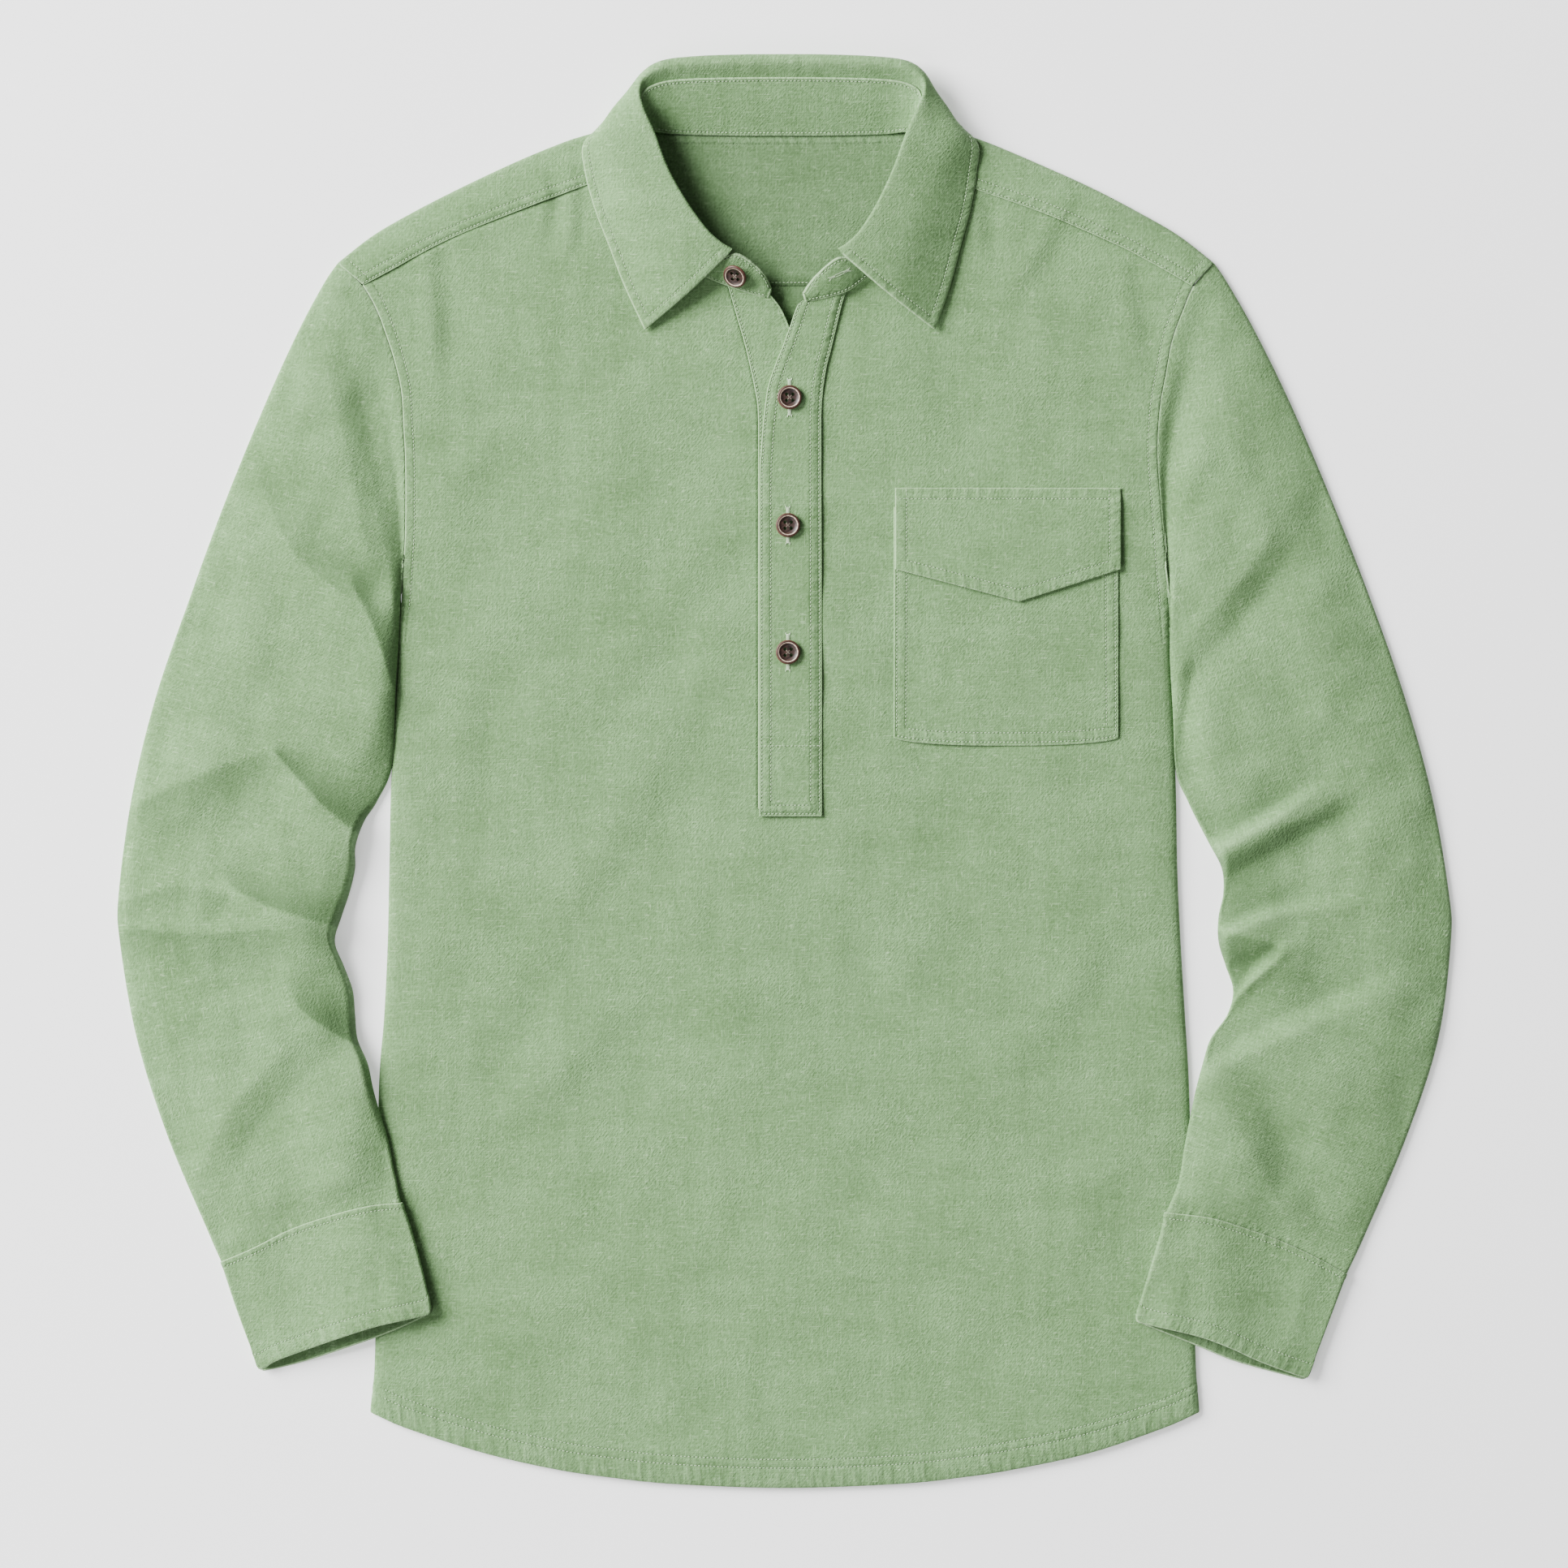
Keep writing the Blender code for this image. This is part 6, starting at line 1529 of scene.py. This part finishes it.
# ---------------------------------------------------------------- the buttons
# Four-hole buttons turned from dark brown horn: a rounded rim, a pale scored ring inside it,
# and a dished middle, sewn on with pale thread. Their motion is the cloth's, so they stay
# fastened. Three close the placket and one is on the stand's free left end.

BUTTON_HOLE, BUTTON_HOLE_OUT = 0.98, 2.35       # a hole's radius, and how far out it is
BUTTON_SHANK = 0.5      # gap under a button, filled by its thread
RING_RADIUS = 5.25      # of the scored ring
STAND_BUTTON_PLACE = (-26.6, 275.2)
STAND_BUTTON_LEAN = (-0.36, -0.50, 0.79)        # which way its face looks
LEAN_LIFT = 0.9         # how much further off the stand a leaning button is
# Half of a button's section: distance from its middle, height
BUTTON_PROFILE = [
    (0.0, 0.0), (4.6, 0.0), (6.0, 0.35), (6.6, 0.95), (6.75, 1.5), (6.55, 2.05), (6.1, 2.38),
    (5.6, 2.40), (5.35, 2.24), (5.15, 2.20), (4.95, 2.10), (4.3, 1.62), (3.2, 1.45), (0.0, 1.40),
]


HORN_DARK, HORN_STREAK = (0.012, 0.006, 0.005), (0.046, 0.020, 0.014)
HORN_RIM, HORN_RING = (0.125, 0.044, 0.028), (0.62, 0.47, 0.36)


def horn_finish():
    """Polished dark horn with warmer streaks, a coppery rim and a pale ring."""
    made, tree, shader = new_finish("dark horn")
    disc = add_node(tree, "ShaderNodeUVMap", uv_map="disc").outputs[0]
    radius = add_node(tree, "ShaderNodeVectorMath", {0: disc}, operation="LENGTH").outputs["Value"]
    in_mm = maths(tree, "MULTIPLY", radius, 1000.0)
    streak = streaks(tree, disc, 0.6, 900.0, 160.0, 2.0)
    colour = blend_colours(tree, spread(tree, streak, 0.35, 0.7), HORN_DARK, HORN_STREAK)
    rim = spread(tree, in_mm, RING_RADIUS + 0.4, RING_RADIUS + 1.3)
    colour = blend_colours(tree, maths(tree, "MULTIPLY", rim, 0.6), colour, HORN_RIM)
    away = maths(tree, "ABSOLUTE", maths(tree, "SUBTRACT", in_mm, RING_RADIUS))
    ring = spread(tree, away, 0.12, 0.34, 1.0, 0.0)
    broken = noise_of(tree, disc, 900.0, 2.0)
    ring = maths(tree, "MULTIPLY", ring, spread(tree, broken, 0.35, 0.55, 0.45, 1.0))
    bump = add_node(tree, "ShaderNodeBump", {"Strength": 0.5, "Distance": 0.05 * MM,
                                             "Height": streak})
    fill(tree, shader, {"Base Color": blend_colours(tree, ring, colour, HORN_RING),
                        "Roughness": spread(tree, streak, 0.3, 0.7, 0.40, 0.55),
                        "Normal": bump.outputs[0], "Specular IOR Level": 0.4})
    return made


HORN = horn_finish()
BUTTON_THREAD = thread_finish("button thread", (0.090, 0.066, 0.046), (0.220, 0.180, 0.135))


# The ways from a button's middle to its four holes
HOLE_WAYS = [Vector((math.cos(turn), math.sin(turn), 0.0))
             for turn in (math.radians(45.0 + 90.0 * k) for k in range(4))]
STRAND_LOW, STRAND_HIGH = 1.35, 1.66    # a strand's height over its hole and where all cross
STRAND_OUT = 0.72       # share of the way to a hole where a strand ends
STRAND_ASIDE = 0.13     # how far the two strands of a hole lie to each side


def make_button(name, node, place):
    """A turned disc with four thread holes, set by its place, and its crossed thread."""
    bm = bmesh.new()
    verts = [bm.verts.new((r * MM, 0.0, z * MM)) for r, z in BUTTON_PROFILE]
    edges = [bm.edges.new(pair) for pair in zip(verts, verts[1:])]
    bmesh.ops.spin(bm, geom=verts + edges, cent=(0, 0, 0), axis=(0, 0, 1),
                   angle=2 * math.pi, steps=64, use_merge=True)
    bmesh.ops.remove_doubles(bm, verts=bm.verts, dist=1e-6)
    bmesh.ops.recalc_face_normals(bm, faces=bm.faces)
    whole = in_scene(name + "_whole", as_mesh(name, bm))
    drill = bmesh.new()
    for way in HOLE_WAYS:
        spot = way * BUTTON_HOLE_OUT * MM
        bmesh.ops.create_cone(drill, cap_ends=True, segments=20, radius1=BUTTON_HOLE * MM,
                              radius2=BUTTON_HOLE * MM, depth=8.0 * MM,
                              matrix=Matrix.Translation(spot))
    cutter = in_scene(name + "_drill", as_mesh(name + "_drill", drill))
    cut = whole.modifiers.new("holes", "BOOLEAN")
    cut.operation = "DIFFERENCE"
    cut.solver = "EXACT"
    cut.object = cutter
    graph = bpy.context.evaluated_depsgraph_get()
    made = bpy.data.meshes.new_from_object(whole.evaluated_get(graph))
    for thing in (whole, cutter):
        bpy.data.objects.remove(thing)
    flat = [made.vertices[loop.vertex_index].co[:2] for loop in made.loops]
    made.uv_layers.new(name="disc").data.foreach_set("uv", np.array(flat, np.float32).ravel())
    made.materials.clear()
    made.materials.append(HORN)
    made.shade_smooth()
    made.set_sharp_from_angle(angle=math.radians(35.0))
    made.transform(place)
    button = in_scene(name, made)
    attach(button, "root")
    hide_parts(node)

    strands = []
    for way in HOLE_WAYS:
        for shift in (-STRAND_ASIDE, STRAND_ASIDE):
            aside = Vector((-way.y, way.x, 0.0)) * shift
            ends = (STRAND_OUT * (way * BUTTON_HOLE_OUT) + aside + Vector((0, 0, STRAND_LOW)),
                    aside + Vector((0, 0, STRAND_HIGH)))
            strands.append([np.array(place @ (end * MM)) / MM for end in ends])
    sew(name + "_thread", [strands], radius=0.14, finish=BUTTON_THREAD)


def upon(piece, pairs, lift=0.05):
    """Carries pairs of points on the plan up onto the top of a piece."""
    graph = bpy.context.evaluated_depsgraph_get()
    shape = piece.evaluated_get(graph)
    lifted = []
    for pair in pairs:
        ends = []
        for x, y in pair:
            hit, place, out, _ = shape.ray_cast(Vector((x * MM, y * MM, 0.1)), Vector((0, 0, -1)))
            if hit:
                ends.append(np.array(place) / MM + lift * np.array(out))
        if len(ends) == 2:
            lifted.append(ends)
    return lifted


def button_middle(k):
    """Where a button of the placket lies on the plan."""
    low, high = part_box(f"button_{k}")
    return 500.0 * (low.x + high.x), 500.0 * (low.y + high.y)


for k in (1, 2, 3):
    (spot, _), = upon(button_band, [[button_middle(k)] * 2], lift=0.0)
    spot = Vector(spot) + Vector((0.0, 0.0, BUTTON_SHANK))
    make_button(f"placket_button_{k}", f"button_{k}", Matrix.Translation(spot * MM))
(spot, _), = upon(stand, [[STAND_BUTTON_PLACE] * 2], lift=0.0)
face = Vector(STAND_BUTTON_LEAN).normalized()
turned = Vector((0, 0, 1)).rotation_difference(face).to_matrix().to_4x4()
spot = Vector(spot) + (BUTTON_SHANK + LEAN_LIFT) * face
make_button("neck_button", "stand_button", Matrix.Translation(spot * MM) @ turned)

# ---------------------------------------------------------------- the buttonholes
# Buttonholes are slits bound with close thread: three upright ones under the placket's
# buttons, whose barred ends show above and below them, and one along the stand's right end.

HOLE_LENGTH, HOLE_WIDTH = 19.6, 2.4
BAR_PITCH = 0.5
BAR_LENGTH = 3.4        # length of the close stitches across each end
STAND_HOLE, STAND_HOLE_WIDTH = [(25.0, 272.6), (35.6, 277.4)], 1.7


def bound_slit(start, finish, width):
    """Stitches that bind a slit between two places, as pairs of points on the plan."""
    start, finish = np.array(start, float), np.array(finish, float)
    length = np.linalg.norm(finish - start)
    ahead = (finish - start) / length
    aside = np.array([-ahead[1], ahead[0]]) * width
    pairs = []
    for run in np.arange(0.0, length, BAR_PITCH):
        spot = start + run * ahead
        if min(run, length - run) < BAR_LENGTH:
            pairs.append([spot - 0.5 * aside, spot + 0.5 * aside])
        else:
            pairs += [[spot + hand * 0.15 * aside, spot + hand * 0.5 * aside] for hand in (-1, 1)]
    for end, way in ((start, -ahead), (finish, ahead)):
        for hand in (-1, 1):
            root = end + hand * 0.36 * aside
            pairs.append([root - 0.5 * way, root + 1.2 * way + hand * 0.18 * aside])
    return pairs


slits = []
for k in (1, 2, 3):
    x, y = button_middle(k)
    slits += upon(button_band, bound_slit((x, y + 0.5 * HOLE_LENGTH), (x, y - 0.5 * HOLE_LENGTH),
                                          HOLE_WIDTH), lift=0.14)
BINDING = thread_finish("buttonhole twist", (0.36, 0.50, 0.30), (0.56, 0.70, 0.48))
sew("placket_buttonholes", [slits], radius=0.30, finish=BINDING)
sew("stand_buttonhole", [upon(stand, bound_slit(*STAND_HOLE, STAND_HOLE_WIDTH))], radius=0.18,
    finish=BINDING)

# ---------------------------------------------------------------- table, light and camera
# The shirt lies on a plain pale table under a large soft light from the upper left, with a
# weaker one from the lower left and pale light all round. The camera looks straight down.

PHOTO_SIDE = 0.8694             # width of table that the picture takes in
PHOTO_MIDDLE = (-0.00045, -0.0063)
CAMERA_HEIGHT = 3.2
SENSOR = 36.0
TABLE_HALF = 6.0
TABLE_GREY = (0.95, 0.95, 0.955)
TABLE_GLOW = 0.53       # the backlight of the pale sheet, which softens the shadows on it
ROOM_LIGHT = 0.20       # light from all round
# name | place in metres | width in metres | power in watts
LIGHTS = [("key", (-4.35, 2.10, 2.75), 3.3, 1250.0), ("fill", (-1.7, -1.8, 2.4), 2.0, 50.0)]

board = bmesh.new()
bmesh.ops.create_grid(board, x_segments=1, y_segments=1, size=TABLE_HALF)
table = in_scene("table", as_mesh("table", board))
paint, tree, shader = new_finish("pale table")
fill(tree, shader, {"Base Color": (*TABLE_GREY, 1.0), "Roughness": 0.9,
                    "Specular IOR Level": 0.2, "Emission Color": (1.0, 1.0, 1.0, 1.0),
                    "Emission Strength": TABLE_GLOW})
table.data.materials.append(paint)


def soft_light(name, place, size, power):
    """A square soft light at a place, turned to the middle of the table."""
    lamp = bpy.data.lights.new(name, "AREA")
    lamp.shape = "SQUARE"
    lamp.size = size
    lamp.energy = power
    holder = in_scene(name, lamp)
    holder.location = place
    holder.rotation_mode = "QUATERNION"
    holder.rotation_quaternion = (-Vector(place)).to_track_quat("-Z", "Y")


for light in LIGHTS:
    soft_light(*light)
world = bpy.data.worlds.new("room")
world.use_nodes = True
fill(world.node_tree, world.node_tree.nodes["Background"],
     {"Color": (1.0, 1.0, 1.0, 1.0), "Strength": ROOM_LIGHT})
bpy.context.scene.world = world

camera_data = bpy.data.cameras.new("camera")
camera_data.sensor_width = SENSOR
camera_data.lens = SENSOR * CAMERA_HEIGHT / PHOTO_SIDE
camera = in_scene("camera", camera_data)
camera.location = (*PHOTO_MIDDLE, CAMERA_HEIGHT)
bpy.context.scene.camera = camera
